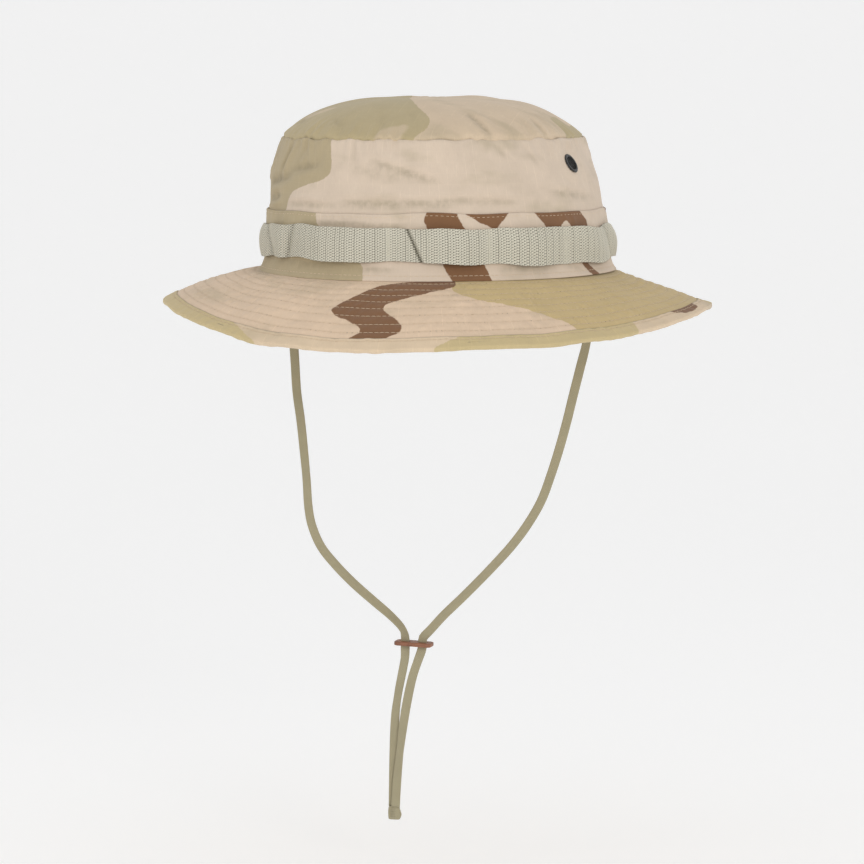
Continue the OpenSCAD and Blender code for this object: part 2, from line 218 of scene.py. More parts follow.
def make_stage():
    """A pale floor that curves up into a backdrop."""
    half, depth, radius, height = 6.0, 4.5, 2.0, 6.0
    profile = [(-8.0, FLOOR_Z * MM)]
    for k in range(17):
        a = math.pi / 2 * k / 16
        profile.append((depth - radius + radius * math.sin(a), FLOOR_Z * MM + radius * (1 - math.cos(a))))
    profile.append((depth, FLOOR_Z * MM + height))
    points = [(x, y, z) for y, z in profile for x in (-half, half)]
    faces = [(2 * k, 2 * k + 1, 2 * k + 3, 2 * k + 2) for k in range(len(profile) - 1)]
    mesh = bpy.data.meshes.new("backdrop")
    mesh.from_pydata(points, [], faces)
    mesh.shade_smooth()
    stage = bpy.data.objects.new("backdrop", mesh)
    bpy.context.scene.collection.objects.link(stage)
    # The sweep turns to face the camera.
    stage.rotation_euler = (0, 0, math.radians(CAM_BEARING))
    paint = Finish("backdrop_paper", (0.9, 0.9, 0.9), 0.9, Emission_Strength=0.2)
    paint.shader.inputs["Emission Color"].default_value = (1.0, 1.0, 1.0, 1.0)
    mesh.materials.append(paint.material)


# ---------------------------------------------------------------- shader expressions

class Value:
    """A number, colour or vector socket of one material, with arithmetic on numbers."""

    def __init__(self, finish, socket):
        self.finish, self.socket = finish, socket

    def maths(self, operation, *numbers):
        return self.finish.node("ShaderNodeMath", {"operation": operation}, dict(enumerate(numbers)))

    def __add__(self, other):
        return self.maths("ADD", self, other)

    def __radd__(self, other):
        return self.maths("ADD", other, self)

    def __sub__(self, other):
        return self.maths("SUBTRACT", self, other)

    def __rsub__(self, other):
        return self.maths("SUBTRACT", other, self)

    def __mul__(self, other):
        return self.maths("MULTIPLY", self, other)

    def __rmul__(self, other):
        return self.maths("MULTIPLY", other, self)

    def __truediv__(self, other):
        return self.maths("DIVIDE", self, other)

    def __abs__(self):
        return self.maths("ABSOLUTE", self)

    def sine(self):
        return self.maths("SINE", self)

    def fract(self):
        return self.maths("FRACT", self)

    def step(self, low, high, lowest=0.0, highest=1.0):
        """Smoothly from lowest to highest as this goes from low to high."""
        ends = {"From Min": low, "From Max": high, "To Min": lowest, "To Max": highest}
        return self.finish.node(
            "ShaderNodeMapRange", {"interpolation_type": "SMOOTHSTEP"}, {"Value": self, **ends}
        )


class Finish:
    """A material under construction. Constants go on the shader's own sockets."""

    def __init__(self, name, colour, roughness, **constants):
        self.material = bpy.data.materials.new(name)
        self.material.use_nodes = True
        self.tree = self.material.node_tree
        self.shader = self.tree.nodes["Principled BSDF"]
        self.shader.inputs["Base Color"].default_value = (*colour, 1.0)
        self.shader.inputs["Roughness"].default_value = roughness
        for socket, value in constants.items():
            self.shader.inputs[socket.replace("_", " ")].default_value = value
        self.material.diffuse_color = (*colour, 1.0)

    def node(self, kind, settings=None, sockets=None, out=0):
        made = self.tree.nodes.new(kind)
        for key, value in (settings or {}).items():
            setattr(made, key, value)
        for key, value in (sockets or {}).items():
            if isinstance(value, Value):
                self.tree.links.new(value.socket, made.inputs[key])
            else:
                made.inputs[key].default_value = value
        return Value(self, made.outputs[out])

    def feed(self, socket, value):
        self.tree.links.new(value.socket, self.shader.inputs[socket])

    def field(self, name):
        """A number stored on the mesh's points."""
        return self.node("ShaderNodeAttribute", {"attribute_name": name}, out="Fac")

    def cloth(self):
        """Place on the flat cloth, in millimetres: along it, across it, and both as a vector."""
        place = self.node("ShaderNodeUVMap", {"uv_map": "cloth"})
        along, across = (self.node("ShaderNodeSeparateXYZ", None, {0: place}, out=i) for i in "XY")
        return along, across, place

    def noise(self, place, scale, detail=2.0, roughness=0.5, stretch=None):
        if stretch:
            place = self.node("ShaderNodeVectorMath", {"operation": "MULTIPLY"}, {0: place, 1: stretch})
        return self.node(
            "ShaderNodeTexNoise", None,
            {"Vector": place, "Scale": scale, "Detail": detail, "Roughness": roughness}, out="Fac",
        )

    def mix(self, a, b, share, kind="MIX"):
        """Colour a turning into colour b, or multiplied by it."""
        a, b = (c if isinstance(c, Value) else (*c, 1.0) for c in (a, b))
        return self.node(
            "ShaderNodeMix", {"data_type": "RGBA", "blend_type": kind}, {0: share, 6: a, 7: b}, out=2
        )

    def shade(self, colour, factor):
        """A colour multiplied by a number."""
        grey = self.node("ShaderNodeCombineColor", None, {0: factor, 1: factor, 2: factor})
        return self.mix(colour, grey, 1.0, "MULTIPLY")

    def bump(self, height, strength, distance):
        self.feed("Normal", self.node(
            "ShaderNodeBump", None, {"Strength": strength, "Distance": distance, "Height": height}
        ))


TURN = 2 * math.pi
RIPSTOP = 5.7         # millimetres between the stronger yarns
YARN = 0.5            # millimetres between the others
STITCH_MARKS = 2.7    # millimetres between the needle's marks in a row


def plain_weave(along, across):
    """Height of a plain weave, from 0 to about 1."""
    a, b = ((run * (math.pi / YARN)).sine() for run in (along, across))
    return abs(a * b) * 0.6 + abs(a) * 0.2 + abs(b) * 0.2


def camo_cloth(name, ground=TAN, green=KHAKI, rows=False):
    """Ripstop cotton printed in three colours, whose outlines are stored on the mesh."""
    f = Finish(name, ground, 0.92, Sheen_Weight=0.15, Sheen_Roughness=0.6, Specular_IOR_Level=0.2)
    along, across, place = f.cloth()
    fray = (f.noise(place, 0.9, 2.0) - 0.5) * 0.9 + (f.noise(place, 0.22, 3.0, 0.6) - 0.5) * 1.6
    khaki = (f.field("khaki") + fray).step(-0.3, 0.3)
    brown = (f.field("brown") + fray).step(-0.3, 0.3)
    # The ground is washed unevenly with olive, and painted shade turns it olive and darker in the folds.
    shaded_fold = f.field("shaded_fold") * f.noise(place, 0.16, 3.0, 0.6).step(0.3, 0.68, 0.25, 1.0)
    olive_wash_and_fold_shade = f.noise(place, 0.045, 3.0, 0.6, (0.45, 1.0, 1.0)).step(0.48, 0.78) * 0.5 + shaded_fold * 0.5
    khaki = khaki * (1.0 - (f.field("pale") + fray).step(-1.5, 1.5) * 0.6)
    colour = f.mix(f.mix(f.mix(ground, OLIVE, olive_wash_and_fold_shade), green, khaki), BROWN, brown)
    blotch = f.noise(place, 0.05, 4.0, 0.6)
    slub = f.noise(place, 1.6, 3.0, 0.65, (1.0, 0.18, 1.0))
    speck = f.noise(place, 2.4, 2.0, 0.7)
    # A stronger grid every few millimetres, which shows in places, and the yarns themselves
    upright, level = (
        abs((run / RIPSTOP).fract() - 0.5).step(0.0, 0.05, 1.0, 0.0) for run in (along, across)
    )
    grid = upright * f.noise(place, 0.1, 2.0).step(0.45, 0.62) + level * 0.2
    weave = plain_weave(along, across)
    shade = blotch * 0.2 + slub * 0.12 + speck * 0.1 + grid * 0.11 + weave * 0.05 + 0.76
    # Painted shade darkens the folds, and the seam field paints a thin line of shade along the binding's
    # edge.
    shade = shade - shaded_fold * 0.2 - f.field("seam") * 0.3
    if rows:
        shade = shade - needle_marks_and_row_shade(f, along, place)
    f.feed("Base Color", f.shade(colour, shade))
    f.feed("Roughness", slub * 0.1 + 0.84)
    f.bump(weave * 0.35 + grid * 0.6 + slub * 0.4, 0.4, 0.00022)
    return f.material


def needle_marks_and_row_shade(f, along, place):
    """Small dark pricks here and there on the brim's rows of stitching, and painted shade along the sunken
    rows.
    """
    off_row = abs((f.field("row") + 0.5).fract() - 0.5) * 6.0
    off_hole = abs((along / STITCH_MARKS).fract() - 0.5) * STITCH_MARKS
    near = off_row.step(0.12, 0.42, 1.0, 0.0) * off_hole.step(0.15, 0.5, 1.0, 0.0)
    some = f.noise(place, 0.21, 1.0).step(0.48, 0.6)
    # Painted shade along each row, where the cloth sinks between the ridges.
    groove = off_row.step(0.1, 1.5, 1.0, 0.0)
    return near * some * 0.5 + groove * 0.03


def webbing_cloth():
    f = Finish("webbing_cotton", WEB_LIGHT, 0.9, Sheen_Weight=0.15, Specular_IOR_Level=0.2)
    _, _, place = f.cloth()
    high = f.field("weave")
    soil = f.noise(place, 0.05, 3.0)
    fibre = f.noise(place, 3.2, 3.0, 0.7)
    # Low places of the weave, its grooves and pinholes, take painted shade.
    colour = f.mix(WEB_HOLE_SHADE, WEB_LIGHT, high.step(0.2, 0.86))
    f.feed("Base Color", f.shade(colour, soil * 0.12 + fibre * 0.44 + 0.72))
    f.bump(fibre, 0.5, 0.0002)
    return f.material


def tape_cloth(name, colour, dark, pitch=0.9):
    """Narrow woven tape with slanting ribs that meet down its middle."""
    f = Finish(name, colour, 0.88, Sheen_Weight=0.15, Specular_IOR_Level=0.2)
    along, across, place = f.cloth()
    ribs = ((along + abs(across)) * (TURN / pitch)).sine() * 0.5 + 0.5
    fibre = f.noise(place, 2.6, 3.0, 0.7)
    wear = f.noise(place, 0.09, 3.0)
    f.feed("Base Color", f.shade(f.mix(dark, colour, ribs * 0.55 + 0.45), fibre * 0.16 + wear * 0.18 + 0.8))
    f.bump(ribs * 0.7 + fibre * 0.4, 0.6, 0.00025)
    return f.material


def thread_fibre(name, colour):
    f = Finish(name, colour, 0.7, Sheen_Weight=0.2)
    place = f.node("ShaderNodeTexCoord", out="Object")
    twist = f.noise(place, 900.0, 2.0)
    f.feed("Base Color", f.shade(colour, twist * 0.25 + 0.84))
    f.bump(twist, 0.4, 0.0001)
    return f.material


def leather():
    f = Finish("slide_leather", LEATHER, 0.5, Specular_IOR_Level=0.4)
    place = f.node("ShaderNodeTexCoord", out="Object")
    grain = f.node("ShaderNodeTexVoronoi", {"feature": "SMOOTH_F1"}, {"Vector": place, "Scale": 1500.0})
    cloudy = f.noise(place, 160.0, 4.0, 0.6)
    fibres = f.noise(place, 420.0, 3.0, 0.6, (0.3, 1.0, 2.5))
    colour = f.mix(LEATHER_EDGE, LEATHER, (cloudy + fibres * 0.5).step(0.45, 1.0))
    f.feed("Base Color", colour)
    f.feed("Roughness", grain * 0.25 + 0.42)
    f.bump(grain * 0.7 + fibres * 0.5, 0.4, 0.00018)
    return f.material


def enamel(name, roughness):
    """Dark enamel on metal, slightly uneven."""
    f = Finish(name, METAL, roughness, Metallic=0.35, Coat_Weight=0.25)
    place = f.node("ShaderNodeTexCoord", out="Object")
    smear = f.noise(place, 700.0, 3.0)
    f.feed("Base Color", f.shade(METAL, smear * 0.6 + 0.7))
    f.feed("Roughness", smear * 0.25 + roughness - 0.1)
    f.bump(smear, 0.15, 0.0001)
    return f.material


# ---------------------------------------------------------------- the hat's surfaces

def stack(x, y, z):
    return np.stack(np.broadcast_arrays(x, y, z), axis=-1)


def around(t, centre=0.0):
    """Degrees from a centre line, from -180 to 180."""
    return (np.degrees(t) - centre + 180) % 360 - 180


def peak(x, centre, width):
    """1 at the centre, fading away over the width on both sides of it."""
    return np.exp(-((x - centre) / width) ** 2)


def climb(x, middle, width):
    """From 0 to 1 as x passes the middle."""
    return 1 / (1 + np.exp(-(x - middle) / width))


def bell(t, centre, width):
    """1 at a bearing, fading away over some degrees on both sides of it."""
    return peak(around(t, centre), 0, width)


def oval(t):
    return CROWN_WID * np.sin(t), -CROWN_LEN * np.cos(t)


def outward(t):
    x, y = CROWN_LEN * np.sin(t), -CROWN_WID * np.cos(t)
    length = np.hypot(x, y)
    return x / length, y / length


def inset(z):
    """How far the wall has drawn in at a height."""
    return WALL_TAPER * np.clip((z - TAPER_FROM) / (WALL_H - TAPER_FROM), 0, None) ** TAPER_POWER


def lean(z):
    """How far the soft crown leans towards the wearer's right at a height."""
    return CROWN_LEAN * np.clip((z - TAPER_FROM) / (WALL_H - TAPER_FROM), 0, 1)


def wall_point(t, z, out):
    """A point on the crown's wall, out from the outer face of its lower strip."""
    (x, y), (nx, ny) = oval(t), outward(t)
    reach = out - inset(z)
    return stack(x + nx * reach - lean(z), y + ny * reach, z)


def strip_flare(z):
    """How far the crown's lowest stretch spreads on to the brim."""
    return FLARE * np.clip((FLARE_FROM - z) / FLARE_FROM, 0, 2) ** 1.8


def droop(t):
    front = (1 + np.cos(t)) / 2
    waves = FRONT_LEAN * np.sin(2 * t) - FRONT_RIPPLE * np.sin(4 * t)
    return rad(DROOP + SADDLE * np.cos(2 * t) + np.sin(t) + front * waves)


def brim_point(t, s, up):
    """A point of the brim, s out from the crown and up above its upper face."""
    (x, y), (nx, ny) = oval(t), outward(t)
    share = np.clip(s / BRIM_W, 0, None)
    mean = droop(t) * (ROOT_SLOPE + (1 - ROOT_SLOPE) * share)
    slope = droop(t) * (ROOT_SLOPE + 2 * (1 - ROOT_SLOPE) * share)
    belly = 2.4 * bell(t, -85, 38) - 1.9 * bell(t, 94, 34)
    tips = 1.0 * bell(t, -60, 28) + 1.3 * bell(t, 72, 28)
    share = np.clip(share, 0, 1)
    up = up + belly * np.sin(np.pi * share ** 0.75) ** 0.8 + tips * share ** 2
    wider = 0.9 * bell(t, 105, 30) - 1.1 * bell(t, -75, 30)
    reach = s * np.cos(mean) + up * np.sin(slope) + wider * share ** 2
    drop = -np.clip(s, 0, None) * np.sin(mean) + up * np.cos(slope)
    return stack(x + nx * reach, y + ny * reach, drop)


def dome_point(t, r, up):
    rim = wall_point(t, np.full_like(t, WALL_H), WALL_OUT)
    x = (rim[..., 0] + CROWN_LEAN) * r - CROWN_LEAN - 0.5 * np.sin(np.pi * r)
    rise = DOME_H * np.clip(1 - r ** DOME_POWER, 0, None) ** DOME_ROUND
    return stack(x, rim[..., 1] * r, WALL_H + rise + up)


def ripples(t, v, seed, turns, lengths, number=16):
    """Irregular waves of about unit height that close up round the hat."""
    rng = np.random.default_rng(seed)
    total = 0.0 * t
    for _ in range(number):
        n = rng.integers(turns[0], turns[1] + 1)
        k = TURN / rng.uniform(*lengths) * rng.choice([-1, 1])
        total = total + np.sin(n * t + k * v + rng.uniform(0, TURN))
    return total / math.sqrt(number / 2)


def crease(x, y, start, end, width, depth):
    """A soft fold along a line, with a rounded lip on its left."""
    dx, dy = end[0] - start[0], end[1] - start[1]
    length = math.hypot(dx, dy)
    along = ((x - start[0]) * dx + (y - start[1]) * dy) / length
    side = (-(x - start[0]) * dy + (y - start[1]) * dx) / length / width
    ends = climb(along, width, width) * climb(length - along, width, width)
    return depth * ends * (0.8 * peak(side, 1.4, 1.1) - peak(side, 0, 1))


WALL_DEG = 1.73     # millimetres round the wall for one degree
BRIM_DEG = 2.2      # the same half way out on the brim


# ---------------------------------------------------------------- printed pattern

def rounded(points, cuts=2):
    """A closed outline with its corners cut round."""
    p = np.array(points, float)
    for _ in range(cuts):
        q = np.roll(p, -1, axis=0)
        p = np.stack([p * 0.78 + q * 0.22, p * 0.22 + q * 0.78], axis=1).reshape(-1, 2)
    return p


def depth_inside(x, y, outline):
    """Distance to an outline, above zero inside it."""
    near, inside = np.full(x.shape, 1e6), np.zeros(x.shape, bool)
    for a, b in zip(outline, np.roll(outline, -1, axis=0)):
        ab = b - a
        share = np.clip(((x - a[0]) * ab[0] + (y - a[1]) * ab[1]) / max(ab @ ab, 1e-9), 0, 1)
        near = np.minimum(near, np.hypot(x - a[0] - share * ab[0], y - a[1] - share * ab[1]))
        if a[1] != b[1]:
            crosses = ((a[1] > y) != (b[1] > y)) & (x < a[0] + (y - a[1]) * ab[0] / ab[1])
            inside ^= crosses
    return np.where(inside, near, -near)


def print_depth(x, y, outlines, scale=(1.0, 1.0), cuts=2):
    """Depth inside the nearest of several outlines, in millimetres."""
    found = np.full(x.shape, -50.0)
    for outline in outlines:
        shape = rounded(np.array(outline, float) * scale, cuts)
        found = np.maximum(found, depth_inside(x * scale[0], y * scale[1], shape))
    return found


# Outlines on the side wall and the crown's strip, as (degrees from the front, height)
WALL_KHAKI = [
    [(-24.5, 90), (-24, 68), (-21.5, 55), (-26, 50), (-33, 47.5), (-40, 44.5), (-43.5, 40), (-45, 31),
     (-100, 25), (-116, 38), (-108, 56), (-118, 90)],
    [(122, 90), (118, 70), (128, 60), (146, 58), (152, 40), (152, 20), (176, 20), (172, 46), (160, 62),
     (156, 90)],
]
WALL_BROWN = [
    [(-176, 20), (-172, 46), (-158, 58), (-146, 50), (-150, 36), (-158, 20)],
    [(128, 20), (130, 40), (138, 54), (146, 50), (142, 34), (146, 20)],
]
STRIP_KHAKI = [
    [(-27.5, 45), (-27, 34), (-26, 26), (-8, 9), (-6, -10), (-120, -10), (-128, 12), (-116, 24),
     (-112, 45)],
    [(128, 45), (132, 24), (146, 8), (150, -10), (176, -10), (172, 20), (176, 45)],
]
STRIP_BROWN = [
    [(15.5, 45), (13.6, 33), (12.4, 29.5), (13.4, 25.5), (17.8, 7), (24.5, -8), (35.2, -8), (31.6, 7),
     (25.4, 26), (23.2, 33), (23, 45)],
    [(15.6, 43), (34.5, 25.5), (36.5, 25.5), (47, 43)],
    [(44, 45), (52, 31), (54.5, 26.5), (56, 18), (59, 22), (61.5, 26), (63.7, 29), (66, 26), (67, 22),
     (72, 18), (77, 27), (72, 33.5), (71, 45)],
    [(69, 8), (74, 6), (85, -8), (79, -8)],
    [(-172, 45), (-168, 20), (-150, 8), (-140, 18), (-150, 30), (-152, 45)],
    [(98, 45), (100, 30), (112, 16), (122, 20), (114, 34), (112, 45)],
]
# Outlines on the brim, as (degrees from the front, distance from the crown)
BRIM_BROWN = [
    [(21.8, 0.3), (17, 2.4), (8, 4.4), (1.5, 6.4), (-3, 11.6), (-6, 18.4), (-8.5, 23.4), (-11, 30),
     (-9, 35), (-4.5, 38.5), (-1.5, 43), (-1.5, 47.5), (-4, 51), (-5, 60), (1.5, 60), (4, 51),
     (7.5, 47), (8, 42.5), (6.5, 37), (3.5, 31.5), (2.2, 26.5), (4, 22.8), (8, 19.6), (13.5, 15.2),
     (17.5, 12), (21.8, 9.6)],
    [(150, -5), (144, 14), (152, 26), (146, 40), (154, 70), (168, 70), (162, 46), (170, 30), (162, 12),
     (166, -5)],
    [(-130, 20), (-118, 30), (-122, 44), (-110, 52), (-104, 42), (-110, 28), (-116, 14)],
]
BRIM_KHAKI = [
    [(21.8, -6), (21.4, 6), (20, 11.8), (22.5, 17.6), (27, 22.4), (33.5, 26.8), (39.5, 33.4), (43.5, 40.5),
     (46.5, 47), (48, 70), (128, 70), (136, 40), (124, 22), (130, -6)],
    [(-176, -6), (-172, 22), (-158, 34), (-140, 26), (-134, 8), (-138, -6)],
]
BINDING_KHAKI = [
    [(-150, 40), (-150, 80), (-18, 80), (-23, 60), (-33, 51), (-43, 40)],
    [(26, 40), (20, 51.5), (14, 59), (12, 80), (60, 80), (61, 59), (64, 40)],
    [(104, 40), (100, 80), (170, 80), (164, 40)],
]
BINDING_BROWN = [
    [(76, 44), (77, 53), (80, 56), (87, 56.5), (90, 53), (90, 44)],
    [(-170, 40), (-174, 80), (-158, 80), (-156, 40)],
]
# Outlines on the domed top, seen from above, in millimetres
TOP_KHAKI = [
    [(-16, 30), (-10, -28), (4, -60), (16, -74), (17, -84), (10, -92), (2, -110), (-100, -110), (-110, 40),
     (-60, 52), (-34, 44)],
    [(78, -20), (66, -16), (64, 2), (72, 14), (64, 40), (82, 60), (110, 40), (110, -30)],
]
TOP_PALE = [
    [(-11, -98), (-10, -90), (-6, -86), (4, -82), (7, -84), (3, -98)],
    [(-62, -42), (-54, -46), (-45, -44), (-46, -39), (-60, -33), (-70, -26)],
]
TOP_BROWN = [[(-20, 60), (0, 46), (30, 50), (44, 66), (30, 78), (8, 70), (-8, 80), (-26, 74)]]


# ---------------------------------------------------------------- meshes

def add_piece(name, mesh, material, body=HAT, slot=None, replaces=(), smooth=True):
    if smooth:
        mesh.shade_smooth()
    mesh.materials.append(material)
    piece = bpy.data.objects.new(name, mesh)
    bpy.context.scene.collection.objects.link(piece)
    if body:
        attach(piece, body)
    if replaces:
        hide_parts(*replaces)
    return piece


def ring_faces(rows, cols, wrap):
    """Quads between rings of points, closed round the hat."""
    last = rows if wrap else rows - 1
    k, i = np.meshgrid(np.arange(last), np.arange(cols), indexing="ij")
    k2, i2 = (k + 1) % rows, (i + 1) % cols
    return np.stack([k * cols + i, k * cols + i2, k2 * cols + i2, k2 * cols + i], -1).reshape(-1, 4)


def write_fields(mesh, fields):
    for name, values in fields.items():
        made = mesh.attributes.new(name, "FLOAT", "POINT")
        made.data.foreach_set("value", np.ascontiguousarray(values, np.float32).ravel())


def new_mesh(name, points, polygons):
    """A mesh of polygons on points in millimetres."""
    mesh = bpy.data.meshes.new(name)
    mesh.from_pydata((points.reshape(-1, 3) * MM).tolist(), [], polygons)
    return mesh


def ring_mesh(name, rings, place, fields=None):
    """A mesh whose section is closed, through rings of points round the hat. place is each point's
    (along, across) on the flat cloth; the last column runs on past the join, so that the weave
    closes up."""
    rows, cols = rings.shape[:2]
    mesh = new_mesh(name, rings, ring_faces(rows, cols, True).tolist())
    along, across = place
    step = along[:, 1:2] - along[:, 0:1]
    flat = np.stack([np.hstack([along, along[:, -1:] + step]), np.hstack([across, across[:, :1]])], -1)
    k, i = np.meshgrid(np.arange(rows), np.arange(cols), indexing="ij")
    k2 = (k + 1) % rows
    corners = np.stack([flat[k, i], flat[k, i + 1], flat[k2, i + 1], flat[k2, i]], 2)
    layer = mesh.uv_layers.new(name="cloth")
    layer.data.foreach_set("uv", corners.astype(np.float32).ravel())
    write_fields(mesh, fields or {})
    return mesh


def lay_flat(mesh, flat):
    """Stores each point's place on the flat cloth."""
    index = np.zeros(len(mesh.loops), np.int32)
    mesh.loops.foreach_get("vertex_index", index)
    layer = mesh.uv_layers.new(name="cloth")
    layer.data.foreach_set("uv", flat.reshape(-1, 2)[index].astype(np.float32).ravel())


def tube_mesh(name, rings, flat, flipped=False):
    """A mesh through rings of points from end to end, with both ends closed."""
    rows, cols = rings.shape[:2]
    polygons = ring_faces(rows, cols, False).tolist()
    polygons += [list(range(cols))[::-1], [(rows - 1) * cols + i for i in range(cols)]]
    if flipped:
        polygons = [polygon[::-1] for polygon in polygons]
    mesh = new_mesh(name, rings, polygons)
    lay_flat(mesh, flat)
    return mesh


def turns(cols, rows):
    """Angles from the back seam round to itself, repeated for each row."""
    return np.tile(np.linspace(-math.pi, math.pi, cols, endpoint=False), (rows, 1))


def column(values, cols):
    return np.tile(np.array(values, float)[:, None], (1, cols))


def seam_height(t):
    """The top seam's height, slightly puckered."""
    return WALL_H + 0.26 * ripples(t, 0 * t, 5, (6, 40), (50, 90))


def seam_puckers(t, gap):
    """Short gathers that fade away from the top seam."""
    gathers = ripples(t, gap, 11, (38, 92), (30, 60), 22)
    return 0.34 * gathers * np.exp(-np.abs(gap) / 7.0)


WALL_CREASES = [
    # start and end as (degrees, height), then width and depth in millimetres
    ((-47, 70), (-54, 52), 2.8, 1.9), ((-29, 57.5), (-44, 55), 2.3, 1.5),
    ((-44, 51), (-66, 47), 2.8, 1.8), ((-37, 67), (-41, 60), 2.2, 0.9),
    ((-62, 66), (-72, 56), 2.8, 1.4), ((-50, 43), (-64, 40), 3.4, 1.5),
    ((-50, 40), (-68, 37), 2.2, 1.4), ((-44, 37.5), (-20, 37), 2.0, 0.8),
    ((-18, 38.5), (24, 39), 3.0, 0.9), ((-7, 62), (18, 50), 2.8, 1.0),
    ((-13, 58), (8, 50), 4.0, 0.5), ((-13, 69), (-12, 58), 2.6, 0.8),
    ((4, 66), (6, 60), 2.0, 0.5), ((40, 69), (46, 60), 2.2, 0.6),
    ((52, 68), (57, 58), 2.0, 0.5), ((20, 41), (46, 38.5), 2.4, 0.6),
    ((60, 44), (84, 40), 2.6, 0.7), ((104, 66), (112, 52), 2.8, 0.9),
    ((130, 40), (160, 38), 2.2, 0.8), ((-90, 66), (-80, 50), 3.0, 1.0),
    ((-130, 62), (-112, 50), 2.8, 0.9), ((-160, 40), (-128, 37), 2.4, 0.8),
    ((146, 66), (140, 52), 2.6, 0.8),
]


def soft_folds(t, z, creases):
    """The folds of the side wall's cloth or the strip's."""
    total = 0.0 * z
    for start, end, width, depth in creases:
        middle = (start[0] + end[0]) / 2
        x = around(t, middle) * WALL_DEG
        a = ((start[0] - middle) * WALL_DEG, start[1])
        b = ((end[0] - middle) * WALL_DEG, end[1])
        total = total + crease(x, z, a, b, width, depth)
    return total


def wall_bulge(t, z):
    """How far the side wall's cloth stands off its plain shape."""
    left = 1.7 * bell(t, -82, 36) * peak(z, 55, 14)
    right = 0.8 * bell(t, 100, 32) * peak(z, 46, 12)
    waves = 0.3 * ripples(t, z, 21, (3, 14), (30, 90)) + 0.1 * ripples(t, z, 23, (10, 50), (9, 30), 24)
    total = left + right + waves + soft_folds(t, z, WALL_CREASES) + seam_puckers(t, seam_height(t) - z)
    ridge = 0.5 * np.exp(-(around(t, 180) / 1.6) ** 4)
    for a in VENT_ANGLES:
        gap = np.hypot(around(t, a) * WALL_DEG, z - VENT_Z)
        total = total * (1 - np.exp(-(gap / 8) ** 4))
        total = total - math.tan(VENT_TIP) * (z - VENT_Z) * np.exp(-(gap / 10) ** 6)
    return (total + ridge) * climb(z, STRIP_H + 1.2, 1.1)


def camo_fields(x, y, khaki, brown, scale, cuts=2, pale=()):
    return {
        "khaki": print_depth(x, y, khaki, scale, cuts),
        "brown": print_depth(x, y, brown, scale, cuts),
        "pale": print_depth(x, y, pale, scale, cuts),
    }


def make_side_wall(cloth):
    cols = 540
    outer_z = np.concatenate([[FOOT_Z, 14, 26, 31], np.arange(32.6, WALL_H - 1.5, 1.15)])
    rim = [(-1.4, -0.05), (-0.7, -0.25), (-0.15, -0.7), (0.0, -1.3)]
    inner_z = np.concatenate([[WALL_H - 0.6], np.arange(WALL_H - 3, 31, -2.2), [26, 14, FOOT_Z]])
    rows = len(outer_z) + len(rim) + len(inner_z)
    t = turns(cols, rows)
    top = seam_height(t[:1])
    stretch = (top - STRIP_H) / (WALL_H - STRIP_H)
    outer = column(outer_z, cols)
    outer = np.where(outer > STRIP_H, STRIP_H + (outer - STRIP_H) * stretch, outer)
    edge = column([WALL_H + d for d, _ in rim], cols) - WALL_H + top
    z = np.vstack([outer, edge, column(inner_z, cols)])
    tuck = column([0] * len(outer_z) + [o for _, o in rim] + [-CLOTH_T] * len(inner_z), cols)
    rings = wall_point(t, z, WALL_OUT + wall_bulge(t, z) + tuck)
    place = (np.degrees(t) * WALL_DEG, z)
    fields = camo_fields(np.degrees(t), z, WALL_KHAKI, WALL_BROWN, (WALL_DEG, 1))
    # Painted shade in the valleys of the creases, for the cloth's colour.
    fields["shaded_fold"] = np.clip(-soft_folds(t, z, WALL_CREASES), 0, 1.6)
    mesh = ring_mesh("crown_side_wall", rings, place, fields)
    wall = add_piece("side_wall_cloth", mesh, cloth, HAT, "crown_cloth", ["crown_side_wall"])
    cut_vent_holes(wall)


def cut_vent_holes(wall):
    """Takes out the cloth under each eyelet."""
    centres = [wall_point(rad(np.array(a)), np.array(VENT_Z), WALL_OUT) * MM for a in VENT_ANGLES]
    mesh = wall.data
    co = np.zeros(len(mesh.vertices) * 3)
    mesh.vertices.foreach_get("co", co)
    co = co.reshape(-1, 3)
    near = np.zeros(len(co), bool)
    for c in centres:
        near |= np.linalg.norm(co - c, axis=1) < SCREEN_R * MM
    bm = bmesh.new()
    bm.from_mesh(mesh)
    bm.verts.ensure_lookup_table()
    bmesh.ops.delete(bm, geom=[bm.verts[int(i)] for i in np.nonzero(near)[0]], context="VERTS")
    bm.to_mesh(mesh)
    bm.free()


TOP_CREASES = [
    ((30, -58), (50, -74), 3.0, 1.2), ((60, -34), (74, -42), 2.6, 1.0), ((-60, -52), (-68, -34), 3.0, 0.9),
    ((-30, -84), (-40, -66), 2.6, 0.8), ((-6, -88), (-12, -72), 2.4, 0.6), ((10, -84), (2, -66), 2.8, 0.5),
    ((44, 66), (30, 50), 3.2, 0.9), ((-50, 66), (-40, 48), 3.0, 0.9), ((74, 10), (60, 4), 2.6, 0.7),
    ((-78, 0), (-62, 6), 2.8, 0.8),
]


